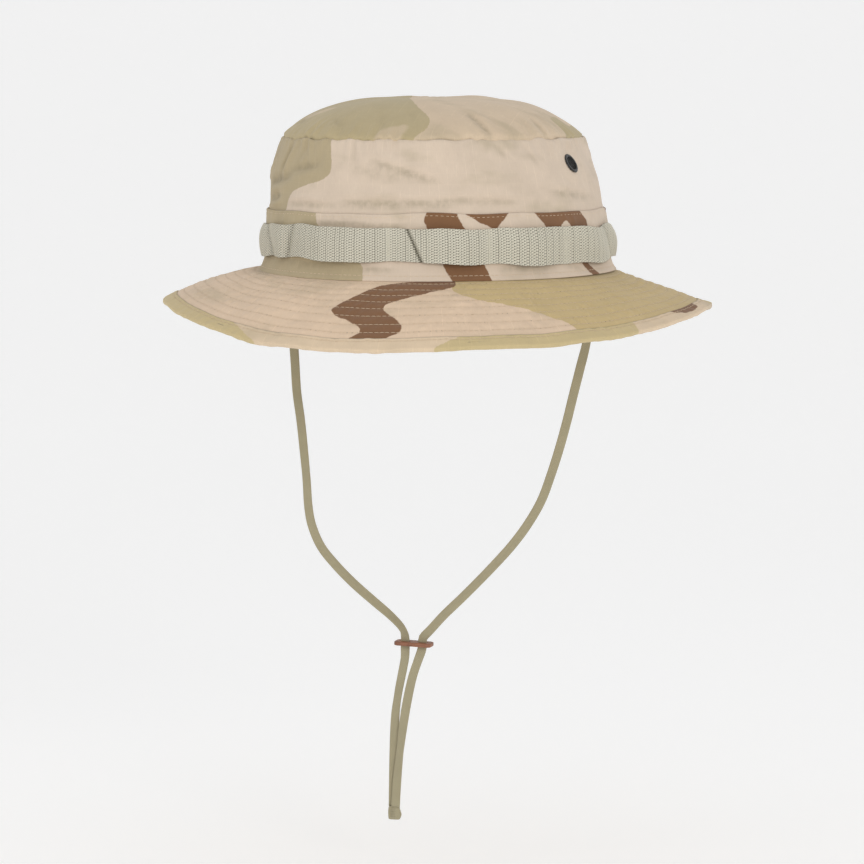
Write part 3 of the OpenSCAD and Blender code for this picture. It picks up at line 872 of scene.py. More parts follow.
def make_top(cloth):
    cols = 480
    inner = [0.05, 0.35, 0.65, 0.9, 0.985]
    outer = np.concatenate([np.linspace(0.985, 0.93, 8), np.linspace(0.92, 0.05, 50)])
    rows = len(inner) + 2 + len(outer)
    t = turns(cols, rows)
    r = column(inner + [1.0, 0.997] + outer.tolist(), cols)
    top = seam_height(t)
    edge = (1 - r) * CROWN_WID * 0.87
    lift = np.where(np.arange(rows)[:, None] < len(inner), -CLOTH_T, 0.0)
    lift = lift + (top - WALL_H) * np.exp(-edge / 8)
    rings = dome_point(t, r, lift)
    x, y = rings[..., 0], rings[..., 1]
    bulge = seam_puckers(t, edge) * 1.1 + 0.35 * ripples(t, edge, 31, (2, 9), (40, 110))
    folds = sum(crease(x, y, *shaded_fold) for shaded_fold in TOP_CREASES)
    dent = 1.7 * peak(np.hypot(x - 77, y - 14), 0, 21)
    crown = peak(np.hypot(x + 74, y - 6), 0, 24)
    bulge = bulge + folds - dent + crown
    bulge = bulge + 0.9 * (1 - np.exp(-edge / 2.2)) * np.exp(-edge / 9)
    rings[..., 2] += bulge * np.clip(edge / 1.5, 0, 1) * np.clip((r - 0.03) * 8, 0, 1)
    # The edge turns down into the seam.
    tuck = len(inner)
    rings[tuck] = wall_point(t[0], top[0] - 1.4, WALL_OUT - 1.9)
    rings[tuck + 1] = wall_point(t[0], top[0] - 0.2, WALL_OUT - 1.0)
    fields = camo_fields(x, y, TOP_KHAKI, TOP_BROWN, (1, 1), 2, TOP_PALE)
    # Painted shade in the valleys of the folds, for the cloth's colour.
    fields["shaded_fold"] = np.clip(-folds, 0, 1.6)
    mesh = tube_mesh("crown_top", rings, rings[..., :2])
    write_fields(mesh, fields)
    add_piece("top_cloth", mesh, cloth, HAT, "crown_cloth", ["crown_top"])


STRIP_TOP_ROW, STRIP_FOOT_ROW = STRIP_H - 1.7, 1.9    # heights of its two rows of stitching
STRIP_CREASES = [
    ((-27, 28.6), (8, 26.8), 2.4, 1.0), ((-14, 5.4), (3, 4.4), 1.6, 0.8), ((-62, 10), (-24, 5.2), 2.6, 0.9),
    ((36, 5), (58, 4.4), 1.8, 0.7), ((60, 6), (70, 3), 1.8, 0.7), ((150, 28), (185, 27), 2.2, 0.7),
    ((-120, 27), (-96, 28), 2.2, 0.8), ((96, 27), (118, 28.5), 2.0, 0.8),
]


def strip_top(t):
    return STRIP_H + 0.3 * ripples(t, 0 * t, 45, (3, 17), (60, 90))


def strip_out(t, z):
    """How far the strip's face stands off its plain shape."""
    shape = np.sin(np.pi * np.clip(z / STRIP_H, 0, 1))
    puff = (0.32 * ripples(t, z, 41, (8, 40), (14, 40)) + 0.3 * soft_folds(t, z, STRIP_CREASES)) * shape
    sewn = peak(z, STRIP_TOP_ROW, 0.6) + peak(z, STRIP_FOOT_ROW, 0.6)
    gathers = 0.2 * ripples(t, z, 43, (50, 110), (12, 30), 20) * np.exp(-np.abs(z - STRIP_H + 2) / 3)
    hem = 0.3 * peak(z, STRIP_H - 0.7, 0.6) + 0.4 * peak(z, 0.3, 0.8)
    return np.maximum(0.12 + puff + gathers + hem - 0.28 * sewn, 0.02) + strip_flare(z)


def make_strip(cloth):
    """The strip round the foot of the crown: folded upper edge, foot turned out on the brim."""
    cols = 540
    foot = [STRIP_FOOT + 0.25, STRIP_FOOT - 0.05, STRIP_FOOT + 0.1]
    outer = np.concatenate([foot, np.arange(STRIP_FOOT + 0.5, STRIP_H - 0.6, 0.8),
                            [STRIP_H - 0.3, STRIP_H]])
    inner = [STRIP_H - 0.15, 26, 14, 8, 4, 1.5, STRIP_FOOT + 0.6]
    rows = len(outer) + len(inner)
    t = turns(cols, rows)
    z = column(np.concatenate([outer, inner]), cols)
    front = np.arange(rows)[:, None] < len(outer)
    roll = -0.4 * np.clip((z - STRIP_H + 0.3) / 0.3, 0, 1)
    edge = column([-0.5, -0.3, -0.08] + [0.0] * (rows - 3), cols)
    out = np.where(front, strip_out(t, z) + roll + edge, strip_flare(z) - 0.3)
    drop = foot_drop(t) * np.clip((6 - z) / 6, 0, 1.4)
    rings = wall_point(t, z + (strip_top(t) - STRIP_H) * (z > 20), out)
    rings[..., 2] -= drop
    fields = camo_fields(np.degrees(t), z, STRIP_KHAKI, STRIP_BROWN, (WALL_DEG, 1), 1)
    # Painted shade in the valleys of the folds, for the cloth's colour.
    fields["shaded_fold"] = np.clip(-soft_folds(t, z, STRIP_CREASES), 0, 1.2)
    mesh = ring_mesh("crown_strip", rings, (np.degrees(t) * WALL_DEG, z), fields)
    add_piece("strip_cloth", mesh, cloth, HAT, "crown_cloth", ["crown_band"])


def foot_drop(t):
    """How far the turned-out foot sinks with the brim's slope."""
    return np.clip(FLARE * 1.35 * np.sin(droop(t) * ROOT_SLOPE) - 0.9, 0, 3)


def web_slant(a, z):
    """How far a line of tacking leans at a height, in degrees."""
    return SLANTS.get(a, 0) * (WEB_Z + WEB_W / 2 - z) / WEB_W + (a == LAP)


def web_height(t, share):
    """Height of the webbing at a share of its width."""
    top, foot = (np.interp(around(t), *zip(*edge)) for edge in (WEB_TOP, WEB_FOOT))
    return WEB_Z + foot + (WEB_W + top - foot) * share


def loop_lift(t, z):
    """Stand-off of the webbing between its tacks; one lap is cut on a slant."""
    degrees = np.degrees(t)
    ends = TACKS + [TACKS[0] + 360]
    total = 0.0 * degrees
    for k in range(len(TACKS)):
        a, b = ends[k], ends[k + 1]
        if b - a < 12:
            continue
        start, stop = a + web_slant(a, z), b + web_slant(b, z)
        turned = (degrees - ends[0]) % 360 + ends[0]
        share = np.clip((turned - start) / (stop - start), 0, 1)
        total = total + LOOP_RISE * (b - a) / WIDEST_LOOP * np.sin(np.pi * share) ** 1.5
        if a == LAP:
            total = total + 1.3 * np.clip((turned - start) / 0.6, 0, 1) * (turned < b) * (1 - share) ** 0.5
    return total


def knitted(x, y):
    """Height of a coarse weave from 0 to 1, at a place counted in cords and in knots. The cords
    stand in pairs, and every second gap between them opens into a row of pinholes."""
    nearest = 2 * np.round(x / 2)
    part = peak(x, nearest, 0.4)
    pin = np.clip(np.cos(TURN * (y + 0.25 * (nearest % 4))), 0, 1)
    groove = 1 - np.abs(np.sin(np.pi * x)) ** 0.6
    knot = np.cos(TURN * (y + 0.5 * (np.floor(x) % 2)))
    return np.clip(0.8 - groove * (0.26 + part * (1.15 * pin - 0.1)) + 0.3 * knot, 0, 1)


def make_webbing(cloth):
    cols, fine = WEB_CORDS * 3, WEB_KNOTS * 4
    across = np.linspace(0, 1, fine + 1)
    back = [0.97, 0.75, 0.5, 0.25, 0.03]
    rows = len(across) + len(back)
    t = turns(cols, rows)
    share = column(np.concatenate([across, back]), cols)
    z = web_height(t, share)
    front = (np.arange(rows) < len(across))[:, None]
    # Creases beside some tacks: a small dip, and painted shade in the weave's colour.
    shaded_crease = sum(
        deep * peak(around(t, a), web_slant(a, z) - 0.5, wide)
        for a, (deep, wide) in SHADED_CREASES.items()
    )
    yarn = knitted((t + np.pi) / TURN * WEB_CORDS, share * WEB_KNOTS)
    lift = loop_lift(t, z)
    tacked = sum(peak(around(t, a), web_slant(a, z), 1.0) for a in TACKS)
    sag = -0.22 * lift * (1 - share)
    selvedge = 0.25 * (np.exp(-share * WEB_W / 0.7) + np.exp(-(1 - share) * WEB_W / 0.7))
    gape = 0.4 * lift * (1 - share) ** 3
    cup = gape - 0.35 * np.cos(2 * np.pi * share) * np.clip(lift / 2, 0, 1)
    face = WEB_T + 0.7 * (yarn - 0.5) * (1 - 0.5 * tacked) + selvedge - 0.15 * tacked - 0.5 * shaded_crease
    # The outermost loop on each side leans in along its edges.
    outermost = sum(bell(t, middle, wide) for middle, wide in OUTERMOST)
    curl = 2.0 * np.exp(-(1 - share) * WEB_W / 2.2) + 1.2 * np.exp(-share * WEB_W / 1.6)
    out = 0.3 + lift + cup + np.where(front, face, 0.1) - outermost * curl
    wander = 0.35 * ripples(t, 0 * t, 51, (4, 22), (60, 90))
    rings = wall_point(t, z + sag + wander, np.maximum(out, 0.35))
    # The webbing's colour follows this: low places of the weave and the creases beside some tacks get painted
    # shade.
    shown = yarn + (0.75 - yarn) * 0.5 * tacked - shaded_crease
    fields = {"weave": np.where(front, shown, 0.6)}
    mesh = ring_mesh("webbing", rings, (np.degrees(t) * WALL_DEG, z), fields)
    add_piece("foliage_webbing", mesh, cloth, HAT, "webbing", ["foliage_band"])


def brim_row(s):
    """Which row of stitching a distance from the crown falls on, with fractions between rows."""
    places = [BRIM_ROWS[0] - 6] + BRIM_ROWS + [BINDING_ROW]
    return np.interp(s, places, np.arange(len(places)) - 1.0)


def brim_wave(t, s):
    """The slow waves of the whole brim."""
    return 0.22 * ripples(t, s, 63, (5, 24), (60, 140), 12) * np.clip(s / 20, 0, 1)


def brim_swell(t, s):
    """Soft ridges between the rows of stitching, with small gathers across them."""
    puff = np.abs(np.sin(np.pi * brim_row(s))) ** 1.2
    gathers = ripples(t, s, 61, (60, 150), (9, 26), 24)
    uneven = 0.75 + 0.3 * ripples(t, s, 65, (16, 70), (16, 60), 20)
    stitched = np.clip((s - 4) / 3, 0, 1) * np.clip((BINDING_START - s) / 3, 0, 1)
    flatter = 1 - 0.55 * bell(t, -84, 26)
    return (0.36 * uneven + 0.18 * gathers) * puff * stitched * flatter


def brim_fields(t, s, khaki=None, brown=None, cuts=2):
    fields = camo_fields(np.degrees(t), s, khaki or BRIM_KHAKI, brown or BRIM_BROWN, (BRIM_DEG, 1), cuts)
    fields["row"] = brim_row(s)
    # The seam field is a thin line of painted shade on the cloth along the binding's edge, fainter near the
    # left tip.
    fields["seam"] = peak(s, BINDING_START - 0.1, 0.36) * (1 - 0.8 * bell(t, -98, 15))
    # Painted shade darkens the cloth where it turns down from the crown at the sides.
    root = peak(np.clip(s, 0, None), 0, 8)
    fields["shaded_fold"] = root * (1.2 * bell(t, -62, 22) + 0.5 * bell(t, 88, 20))
    return fields


def brim_place(t, s):
    """Place on the brim's cloth, whose rows run along the weave."""
    return np.degrees(t) * BRIM_DEG, s


def make_brim_upper(cloth):
    cols = 720
    seam = BINDING_START + np.array([-0.7, -0.4, -0.15, 0.1, 0.4])
    outer = np.concatenate([
        [-2.5, 0.0], np.arange(0.75, BINDING_START - 0.8, 0.75), seam,
        np.arange(BINDING_START + 1, BRIM_W - 0.4, 1.5),
    ])
    inner = [BRIM_W - 0.5, 40, 20, 0, -2.5]
    rows = len(outer) + len(inner)
    t = turns(cols, rows)
    s = column(np.concatenate([inner[::-1], outer[::-1]]), cols)
    upper = (np.arange(rows) >= len(inner))[:, None]
    up = np.where(upper, brim_swell(t, s), -CLOTH_T) + brim_wave(t, s)
    rings = brim_point(t, s, up)
    mesh = ring_mesh("brim_upper", rings, brim_place(t, s), brim_fields(t, s))
    add_piece("brim_upper_cloth", mesh, cloth, HAT, "brim_cloth", ["brim_upper"])


def make_brim_lower(cloth):
    cols = 480
    outer = np.concatenate([[-2.5, 0.0], np.arange(1.5, BRIM_W - 0.4, 1.5)])
    inner = [BRIM_W - 0.5, 40, 20, 0, -2.5]
    rows = len(outer) + len(inner)
    t = turns(cols, rows)
    s = column(np.concatenate([outer, inner]), cols)
    lower = (np.arange(rows) < len(outer))[:, None]
    up = np.where(lower, -BRIM_T - 0.7 * brim_swell(t + 0.4, s), -BRIM_T + CLOTH_T) + brim_wave(t, s)
    rings = brim_point(t, s, up)
    khaki = [[(-a, b) for a, b in shape] for shape in BRIM_BROWN]
    brown = [[(-a + 9, b + 4) for a, b in shape] for shape in BRIM_KHAKI[1:]]
    fields = brim_fields(t, s, khaki, brown)
    mesh = ring_mesh("brim_lower", rings, brim_place(t, s), fields)
    add_piece("brim_lower_cloth", mesh, cloth, HAT, "brim_cloth", ["brim_lower"])


def make_interlining(cloth):
    cols = 240
    steps = [0, 5, 10, 15, 20, 25, 30, 35, 40, 45, 50, 54, 57.5]
    t = turns(cols, 2 * len(steps))
    s = column(steps + steps[::-1], cols)
    up = column([-1.15] * len(steps) + [-0.75] * len(steps), cols) + brim_wave(t, s)
    mesh = ring_mesh("interlining", brim_point(t, s, up), brim_place(t, s))
    add_piece("interlining_canvas", mesh, cloth, HAT, "interlining", ["brim_interlining"])


def binding_section():
    """(distance from the crown, height) round the folded binding, outside then inside."""
    start = BINDING_START
    nose, half = BRIM_W + 0.2, (BRIM_T + 1.1) / 2
    middle = -BRIM_T / 2
    below = [(s, middle - half) for s in np.linspace(start, nose - 0.6, 12)]
    turn = [
        (nose - 0.5 + 1.0 * math.cos(a), middle + half * math.sin(a))
        for a in np.linspace(-math.pi / 2, math.pi / 2, 11)
    ]
    above = [
        (s, middle + half - 0.3 * max(0, 1 - (s - start) / 1.2)) for s in np.linspace(nose - 0.6, start, 16)
    ]
    edge = [(start - 0.12, middle + half - 0.42), (start + 0.15, middle + half - 0.55)]
    inside = [(s, middle + half - 0.5) for s in (start + 3, BRIM_W - 1)]
    inside += [(BRIM_W + 0.25, middle), (BRIM_W - 1, middle - half + 0.5), (start + 3, middle - half + 0.5)]
    inside += [(start + 0.1, middle - half + 0.45)]
    return below + turn + above + edge + inside, len(below) + len(turn) + len(above)


def binding_lift(t, s):
    gathers = ripples(t, s, 71, (46, 130), (10, 24), 24)
    return 0.13 * gathers - 0.22 * peak(s, BINDING_ROW, 0.6)


def make_binding(cloth):
    section, shown = binding_section()
    cols = 720
    t = turns(cols, len(section))
    s = column([p[0] for p in section], cols)
    up = column([p[1] for p in section], cols)
    side = np.sign(up + BRIM_T / 2) * (np.arange(len(section)) < shown)[:, None]
    edge = 0.25 * ripples(t, 0 * t, 73, (5, 30), (50, 90))
    up = up + side * binding_lift(t, s) + brim_wave(t, s)
    rings = brim_point(t, s + edge * (s > BRIM_W - 3), up)
    flat = s + np.cumsum(np.abs(np.diff(up, axis=0, prepend=up[:1])), axis=0) * 0.5
    fields = brim_fields(t, s, BINDING_KHAKI, BINDING_BROWN, 1)
    mesh = ring_mesh("binding", rings, (np.degrees(t) * BRIM_DEG * 1.1, flat), fields)
    add_piece("edge_binding_cloth", mesh, cloth, HAT, "brim_cloth", ["brim_edge_binding"])


# ---------------------------------------------------------------- stitches

STITCH_PITCH, STITCH_FILL = 2.9, 0.94       # from stitch to stitch, and the share that is thread
ROW_RADIUS, BAR_RADIUS = 0.15, 0.2          # of the thread in rows and in bar tacks
BRIM_INSIDE, SWEATBAND_INSIDE = 620, 600    # round the foot of the crown, and round the sweatband


def unit(v):
    return v / np.linalg.norm(v, axis=-1, keepdims=True)


def row_length(s):
    """Length of a row of stitches a distance from the crown."""
    return BRIM_INSIDE + TURN * s * 0.85


def stitch_mesh(name, middles, normals, radius, sides=5, sunk=0.7):
    """One short bead of thread for each row of middles, which are (stitches, stations, 3).
    Its ends are sunk by that share of its radius."""
    count, stations = middles.shape[:2]
    ahead = unit(np.gradient(middles, axis=1))
    side = unit(np.cross(ahead, normals))
    top = np.cross(side, ahead)
    share = np.linspace(0, 1, stations)
    girth = radius * np.clip(np.sin(np.pi * (0.06 + 0.88 * share)), 0, 1) ** 0.5
    arch = radius * (np.sin(np.pi * share) ** 0.6 * (sunk + 0.5) - sunk)
    middles = middles + top * arch[None, :, None]
    angle = TURN * np.arange(sides) / sides
    ring = (
        side[:, :, None] * (np.cos(angle)[:, None] * girth[:, None, None])
        + top[:, :, None] * (np.sin(angle)[:, None] * girth[:, None, None])
    )
    points = middles[:, :, None] + ring
    base = ring_faces(stations, sides, False)
    per = stations * sides
    quads = (base[None] + (np.arange(count) * per)[:, None, None]).reshape(-1, 4).tolist()
    first = [[c * per + i for i in range(sides)][::-1] for c in range(count)]
    last = [[c * per + per - sides + i for i in range(sides)] for c in range(count)]
    return new_mesh(name, points, quads + first + last)


def row_stations(count, fill, start=-math.pi, end=math.pi, stations=4, seed=1):
    """Angles of each stitch's stations in a row, with slightly uneven stitches."""
    rng = np.random.default_rng(seed)
    step = (end - start) / count
    begin = start + step * (np.arange(count) + rng.uniform(-0.06, 0.06, count))
    return begin[:, None] + step * fill * np.linspace(0, 1, stations)[None]


def facing(place, t):
    """Points of a surface place(t, up) and its outward normals."""
    here = place(t, 0.0)
    return here, unit(place(t, 1.0) - here)


def stitch_row(name, place, length, thread, seed, radius=ROW_RADIUS, sunk=0.7):
    """A row of stitches round the hat on the surface place(t, up)."""
    t = row_stations(int(length / STITCH_PITCH), STITCH_FILL, seed=seed)
    here, normal = facing(place, t)
    return add_piece(name, stitch_mesh(name, here, normal, radius, sunk=sunk), thread, HAT, "thread")


def make_brim_stitching(thread):
    for k, s in enumerate(BRIM_ROWS):
        def on_brim(t, up, s=s):
            return brim_point(t, s + 0 * t, brim_wave(t, s + 0 * t) + 0.04 + up)
        row = stitch_row(f"brim_row_{k + 1}", on_brim, row_length(s), thread, 100 + k, radius=0.14, sunk=0.42)
        if k == 0:
            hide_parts("brim_stitching")

    def on_binding(t, up):
        s = BINDING_ROW + 0 * t
        return brim_point(t, s, 0.55 + binding_lift(t, s) + brim_wave(t, s) + 0.12 + up)
    stitch_row("binding_row", on_binding, row_length(BINDING_ROW), thread, 120)


def make_crown_stitching(thread):
    def near_top(t, up):
        z = STRIP_TOP_ROW + 0 * t
        out = strip_out(t, z) + up - 0.05
        return wall_point(t, z + strip_top(t) - STRIP_H, out)

    def near_foot(t, up):
        z = STRIP_FOOT_ROW + 0 * t
        here = wall_point(t, z, strip_out(t, z) + 0.7 * up)
        here[..., 2] += 0.7 * up - foot_drop(t) * (6 - z) / 6
        return here
    first = stitch_row("strip_upper_row", near_top, BRIM_INSIDE, thread, 130)
    stitch_row("strip_lower_row", near_foot, BRIM_INSIDE, thread, 131)
    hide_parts("crown_stitching")


def make_back_seam_rows(thread):
    """Two upright rows beside the side wall's join at the back."""
    for k, offset in enumerate((-1.9, 1.9)):
        z = row_stations(12, 0.85, 36.5, 71.0, seed=140 + k)
        t = np.full_like(z, rad(180 + offset / WALL_DEG))
        here = wall_point(t, z, WALL_OUT + wall_bulge(t, z) + 0.12)
        normal = unit(wall_point(t, z, 5.0) - wall_point(t, z, 0.0))
        mesh = stitch_mesh("back_seam_row", here, normal, BAR_RADIUS)
        add_piece(f"back_seam_row_{k + 1}", mesh, thread, HAT, "thread")


def make_web_tacks(thread):
    """Close zigzags of thread that hold the webbing down."""
    mids, norms = [], []
    for a in TACKS:
        share = np.linspace(0.06, 0.92, 22)[:, None] + np.linspace(0, 0.028, 4)[None]
        z = web_height(rad(a + 0 * share), share)
        t = rad(a + web_slant(a, z) + np.linspace(-0.75, 0.75, 4)[None] / WALL_DEG)
        mids.append(wall_point(t, z, 0 * z + 0.3 + WEB_T - 0.12))
        norms.append(unit(wall_point(t, z, 5.0 + 0 * z) - wall_point(t, z, 0 * z)))
    mesh = stitch_mesh("web_tacks", np.concatenate(mids), np.concatenate(norms), BAR_RADIUS)
    add_piece("webbing_tacks", mesh, thread, HAT, "thread", ["foliage_band_tacks"])


# ---------------------------------------------------------------- lining

def band_shell(name, heights, out, thick, cloth, slot, replaces, cols=360, bulge=None, arc=None):
    """A thin band of cloth inside the crown, all the way round or over an arc in degrees."""
    n = len(heights)
    z = column(list(heights) + list(heights)[::-1], cols)
    faces_out = (np.arange(2 * n) < n)[:, None]
    if arc:
        t = np.tile(rad(np.linspace(arc[0], arc[1], cols)), (2 * n, 1))
    else:
        t = turns(cols, 2 * n)
    lift = bulge(t, z) if bulge else 0.0
    rings = wall_point(t, z, np.where(faces_out, out + lift, out - thick + lift))
    if arc:
        bands = rings.transpose(1, 0, 2)
        run = np.arange(cols)[:, None] + 0 * bands[..., 2]
        mesh = tube_mesh(name, bands, np.stack([run, bands[..., 2]], -1), True)
    else:
        mesh = ring_mesh(name, rings, (np.degrees(t) * WALL_DEG, z))
    return add_piece(name, mesh, cloth, HAT, slot, replaces)


def make_lining(tape, label, thread):
    def soft(t, z):
        return 0.18 * ripples(t, z, 81, (6, 40), (20, 60)) * np.clip(z / 10, 0, 1) - 0.18

    band_shell("sweatband_tape", np.linspace(FOOT_Z, SWEATBAND_H, 14), SWEAT_OUT, 1.2, tape,
               "lining_tape", ["sweatband"], 480, soft)

    def row(t, up):
        z = SWEATBAND_H - 2.5 + 0 * t
        return wall_point(t, z, SWEAT_OUT - 1.2 + soft(t, z) - up)
    stitches = stitch_row("sweatband_row", row, SWEATBAND_INSIDE, thread, 150)
    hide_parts("sweatband_stitching")
    top = seam_height(np.linspace(-math.pi, math.pi, 480, endpoint=False)).min()

    def crimped(t, z):
        return 0.2 * ripples(t, z, 83, (40, 110), (10, 30))
    band_shell("seam_binding_tape", np.linspace(top - 8.5, top - 1.5, 6), -2.6 - CLOTH_T, 0.6, tape,
               "lining_tape", ["crown_seam_binding"], 480, crimped)
    band_shell("back_seam_cover", np.linspace(SWEATBAND_H + 1, WALL_H - 10, 16), SWEAT_OUT - 0.5, 0.6,
               tape, "lining_tape", ["back_seam_tape"], 10, None, (177.0, 183.0))
    band_shell("sewn_label", np.linspace(36, 62, 14), SWEAT_OUT - 0.7, 0.4, label, "label",
               ["blank_label"], 24, None, (-9.2, 9.2))


# ---------------------------------------------------------------- vents

def wall_frame(degrees, z):
    """A matrix whose Z axis points straight out of the wall."""
    t = rad(np.array(degrees, float))
    here, above = (wall_point(t, np.array(h), WALL_OUT) for h in (z, z + 1.0))
    along = wall_point(t + 1e-3, np.array(z), WALL_OUT) - here
    up, x = Vector(above - here).normalized(), Vector(along).normalized()
    up = Matrix.Rotation(-VENT_TIP, 3, x) @ up
    out = x.cross(up).normalized()
    frame_matrix = Matrix((x, out.cross(x), out)).transposed().to_4x4()
    frame_matrix.translation = Vector(here) * MM
    return frame_matrix


def lathe(name, profile, steps=64):
    """A ring turned round Z from (radius, height) points of a closed section."""
    a = TURN * np.arange(steps) / steps
    p = np.array(profile, float)
    points = stack(p[:, :1] * np.cos(a), p[:, :1] * np.sin(a), p[:, 1:] + 0 * a)
    return new_mesh(name, points, ring_faces(len(p), steps, True).tolist())


def eyelet_section():
    """A thin rolled flange outside, the barrel, and the end flared over the washer."""
    lip = [(3.85 + 0.6 * (1 - math.cos(a)), 0.3 + 0.5 * math.sin(a)) for a in np.linspace(0, 1.57, 7)]
    flange = [(4.6 + 1.0 * math.sin(a), 0.3 + 0.5 * math.cos(a)) for a in np.linspace(0.15, 1.57, 8)]
    under = [(5.4, 0.12), (4.5, 0.15)]
    barrel = [(4.3, 0.0), (4.3, -2.7), (5.1, -2.8), (5.15, -3.05), (4.2, -3.1), (3.9, -2.9), (3.9, 0.2)]
    return (lip + flange + under + barrel)[::-1]


def make_vents(metal, gauze):
    washer = [(4.4, -2.75), (5.2, -2.75), (5.2, -2.5), (4.4, -2.5)]
    for k, degrees in enumerate(VENT_ANGLES, 1):
        for name, node, mesh, material, slot in (
            ("vent_ring", "vent_eyelet", lathe("eyelet", eyelet_section()), metal, "vent_metal"),
            ("vent_gauze", "vent_screen", screen_mesh(), gauze, "vent_screen"),
            ("vent_washer_ring", "vent_washer", lathe("washer", washer), metal, "vent_metal"),
        ):
            mesh.transform(wall_frame(degrees, VENT_Z))
            add_piece(f"{name}_{k}", mesh, material, HAT, slot, [f"{node}_{k}"])


def screen_mesh():
    """Crossed wires that pass over and under each other, cut to a round opening."""
    pitch, wire, sides = 0.62, 0.13, 6
    points, faces = [], []
    lines = np.arange(-6, 7) * pitch
    for across in (False, True):
        for n, c in enumerate(lines):
            half = math.sqrt(max(SCREEN_R ** 2 - c * c, 0.2))
            run = np.linspace(-half, half, 40)
            wave = 0.11 * np.cos(np.pi * run / pitch) * (1 if (n % 2 == 0) != across else -1)
            middle = stack(*((c, run) if across else (run, c)), 0.05 + wave)
            ahead = unit(np.gradient(middle, axis=0))
            side = unit(np.cross(ahead, [0, 0, 1.0]))
            top = np.cross(side, ahead)
            a = TURN * np.arange(sides) / sides
            around_wire = side[:, None] * np.cos(a)[:, None] + top[:, None] * np.sin(a)[:, None]
            ring = middle[:, None] + wire * around_wire
            base = sum(len(p) for p in points)
            points.append(ring.reshape(-1, 3))
            faces += (ring_faces(len(run), sides, False) + base).tolist()
            faces.append([base + i for i in range(sides)][::-1])
            faces.append([base + (len(run) - 1) * sides + i for i in range(sides)])
    return new_mesh("gauze", np.vstack(points), faces)


# ---------------------------------------------------------------- chin strap

def smooth_route(route, spacing=1.6):
    """A smooth curve through a route's points, in steps of about the spacing."""
    p = np.array(route, float)
    p = np.vstack([2 * p[0] - p[1], p, 2 * p[-1] - p[-2]])
    found = []
    for a, b, c, d in zip(p, p[1:], p[2:], p[3:]):
        n = max(int(np.linalg.norm(c - b) / spacing), 1)
        for u in np.arange(n) / n:
            found.append(0.5 * (2 * b + (c - a) * u + (2 * a - 5 * b + 4 * c - d) * u ** 2
                                + (3 * b - a - 3 * c + d) * u ** 3))
    return np.vstack([found, p[-2]])


def blunt(wave, power):
    """A sine or cosine squared up, so that a round section turns into a blunt one."""
    return np.sign(wave) * np.abs(wave) ** power


def tape_section(points=20):
    """A flat oval with blunt edges, as (across, through)."""
    a = TURN * np.arange(points) / points
    return blunt(np.cos(a), 0.55) * TAPE_W / 2, blunt(np.sin(a), 0.6) * TAPE_T / 2


def tape_mesh(name, line, turn):
    """The tape along a line; turn is its twist at shares of the length."""
    ahead = unit(np.gradient(line, axis=0))
    across = unit(np.cross(ahead, [0, 1.0, 0]))
    face = np.cross(across, ahead)
    run = np.concatenate([[0], np.cumsum(np.linalg.norm(np.diff(line, axis=0), axis=1))])
    angle = rad(np.interp(run / run[-1], [s for s, _ in turn], [d for _, d in turn]))
    angle = angle + rad(3) * np.sin(run / 11)
    wide = across * np.cos(angle)[:, None] + face * np.sin(angle)[:, None]
    thick = np.cross(ahead, wide)
    a, b = tape_section()
    # The middle of the tape is a little thinner than its edges.
    b = b * (0.86 + 0.14 * np.abs(a) / (TAPE_W / 2))
    rings = line[:, None] + wide[:, None] * a[None, :, None] + thick[:, None] * b[None, :, None]
    return tube_mesh(name, rings, np.stack(np.broadcast_arrays(run[:, None], a[None]), -1), True)


def lay_tape(name, node, route, turn, tape):
    line = smooth_route(route)
    piece = add_piece(name, tape_mesh(name, line, turn), tape, None, "strap_tape", [node])
    return piece


def make_strap(tape, thread):
    """Both sides of the strap and both of its tails."""
    end = make_strap_end(tape, thread)
    for name, node, route, turn in (
        ("strap_left", "chin_strap_left", LEFT_ROUTE, LEFT_TURN),
        ("strap_right", "chin_strap_right", RIGHT_ROUTE, RIGHT_TURN),
        ("tail_left", "strap_tail_left", LEFT_TAIL, LEFT_TAIL_TURN),
        ("tail_right", "strap_tail_right", RIGHT_TAIL, RIGHT_TAIL_TURN),
    ):
        if name.startswith("tail"):
            piece = lay_tape(name, node, route, turn, tape)
            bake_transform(piece)
        else:
            piece = lay_tape(name, node, route, turn, tape)
            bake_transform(piece)


def bar_tack(name, x, y, heights, normal, thread, body):
    """Level bars of stitching at some heights, each laid over the places in x and y."""
    middles = stack(x, y, heights[:, None])
    mesh = stitch_mesh(name, middles, np.broadcast_to(normal, middles.shape), BAR_RADIUS)
    return add_piece(name, mesh, thread, body, "thread")


def make_strap_end(tape, thread):
    """Both ends of the tape folded and sewn into one small block."""
    rows, sides = 26, 28
    v = np.linspace(0, 1, rows)
    a = TURN * np.arange(sides) / sides
    z = END_TOP - END_H * v
    stub = 0.9 * peak(v, 0.62, 0.3)
    half_w = 3.0 + 0.3 * np.sin(np.pi * v) + stub * 0.5
    half_t = 1.45 * (0.85 + 0.15 * np.sin(np.pi * v))
    close = np.clip(np.minimum(v, 1 - v) / 0.06, 0, 1) ** 0.5
    half_w = half_w * (0.7 + 0.3 * close)
    x = END_X + stub[:, None] * 0.5 + half_w[:, None] * blunt(np.cos(a), 0.5)
    groove = 1 - 0.35 * peak(np.cos(a), -0.25, 0.16) * (np.sin(a) < 0)
    y = END_Y + (half_t * close)[:, None] * blunt(np.sin(a), 0.5) * groove
    rings = stack(x, y, z[:, None])
    mesh = tube_mesh("strap_end", rings, np.stack([rings[..., 2], rings[..., 0] - END_X], -1), True)
    piece = add_piece("strap_end_fold", mesh, tape, STRAP, "strap_tape", ["strap_end_tack"])
    heights, across = np.linspace(END_TOP - 1.4, END_TOP - 6.0, 6), END_X + np.linspace(-1.9, 1.9, 4)
    sewn = bar_tack("strap_end_stitches", across, -2.42, heights, (0, -1, 0), thread, STRAP)
    sewn.parent = piece
    return piece


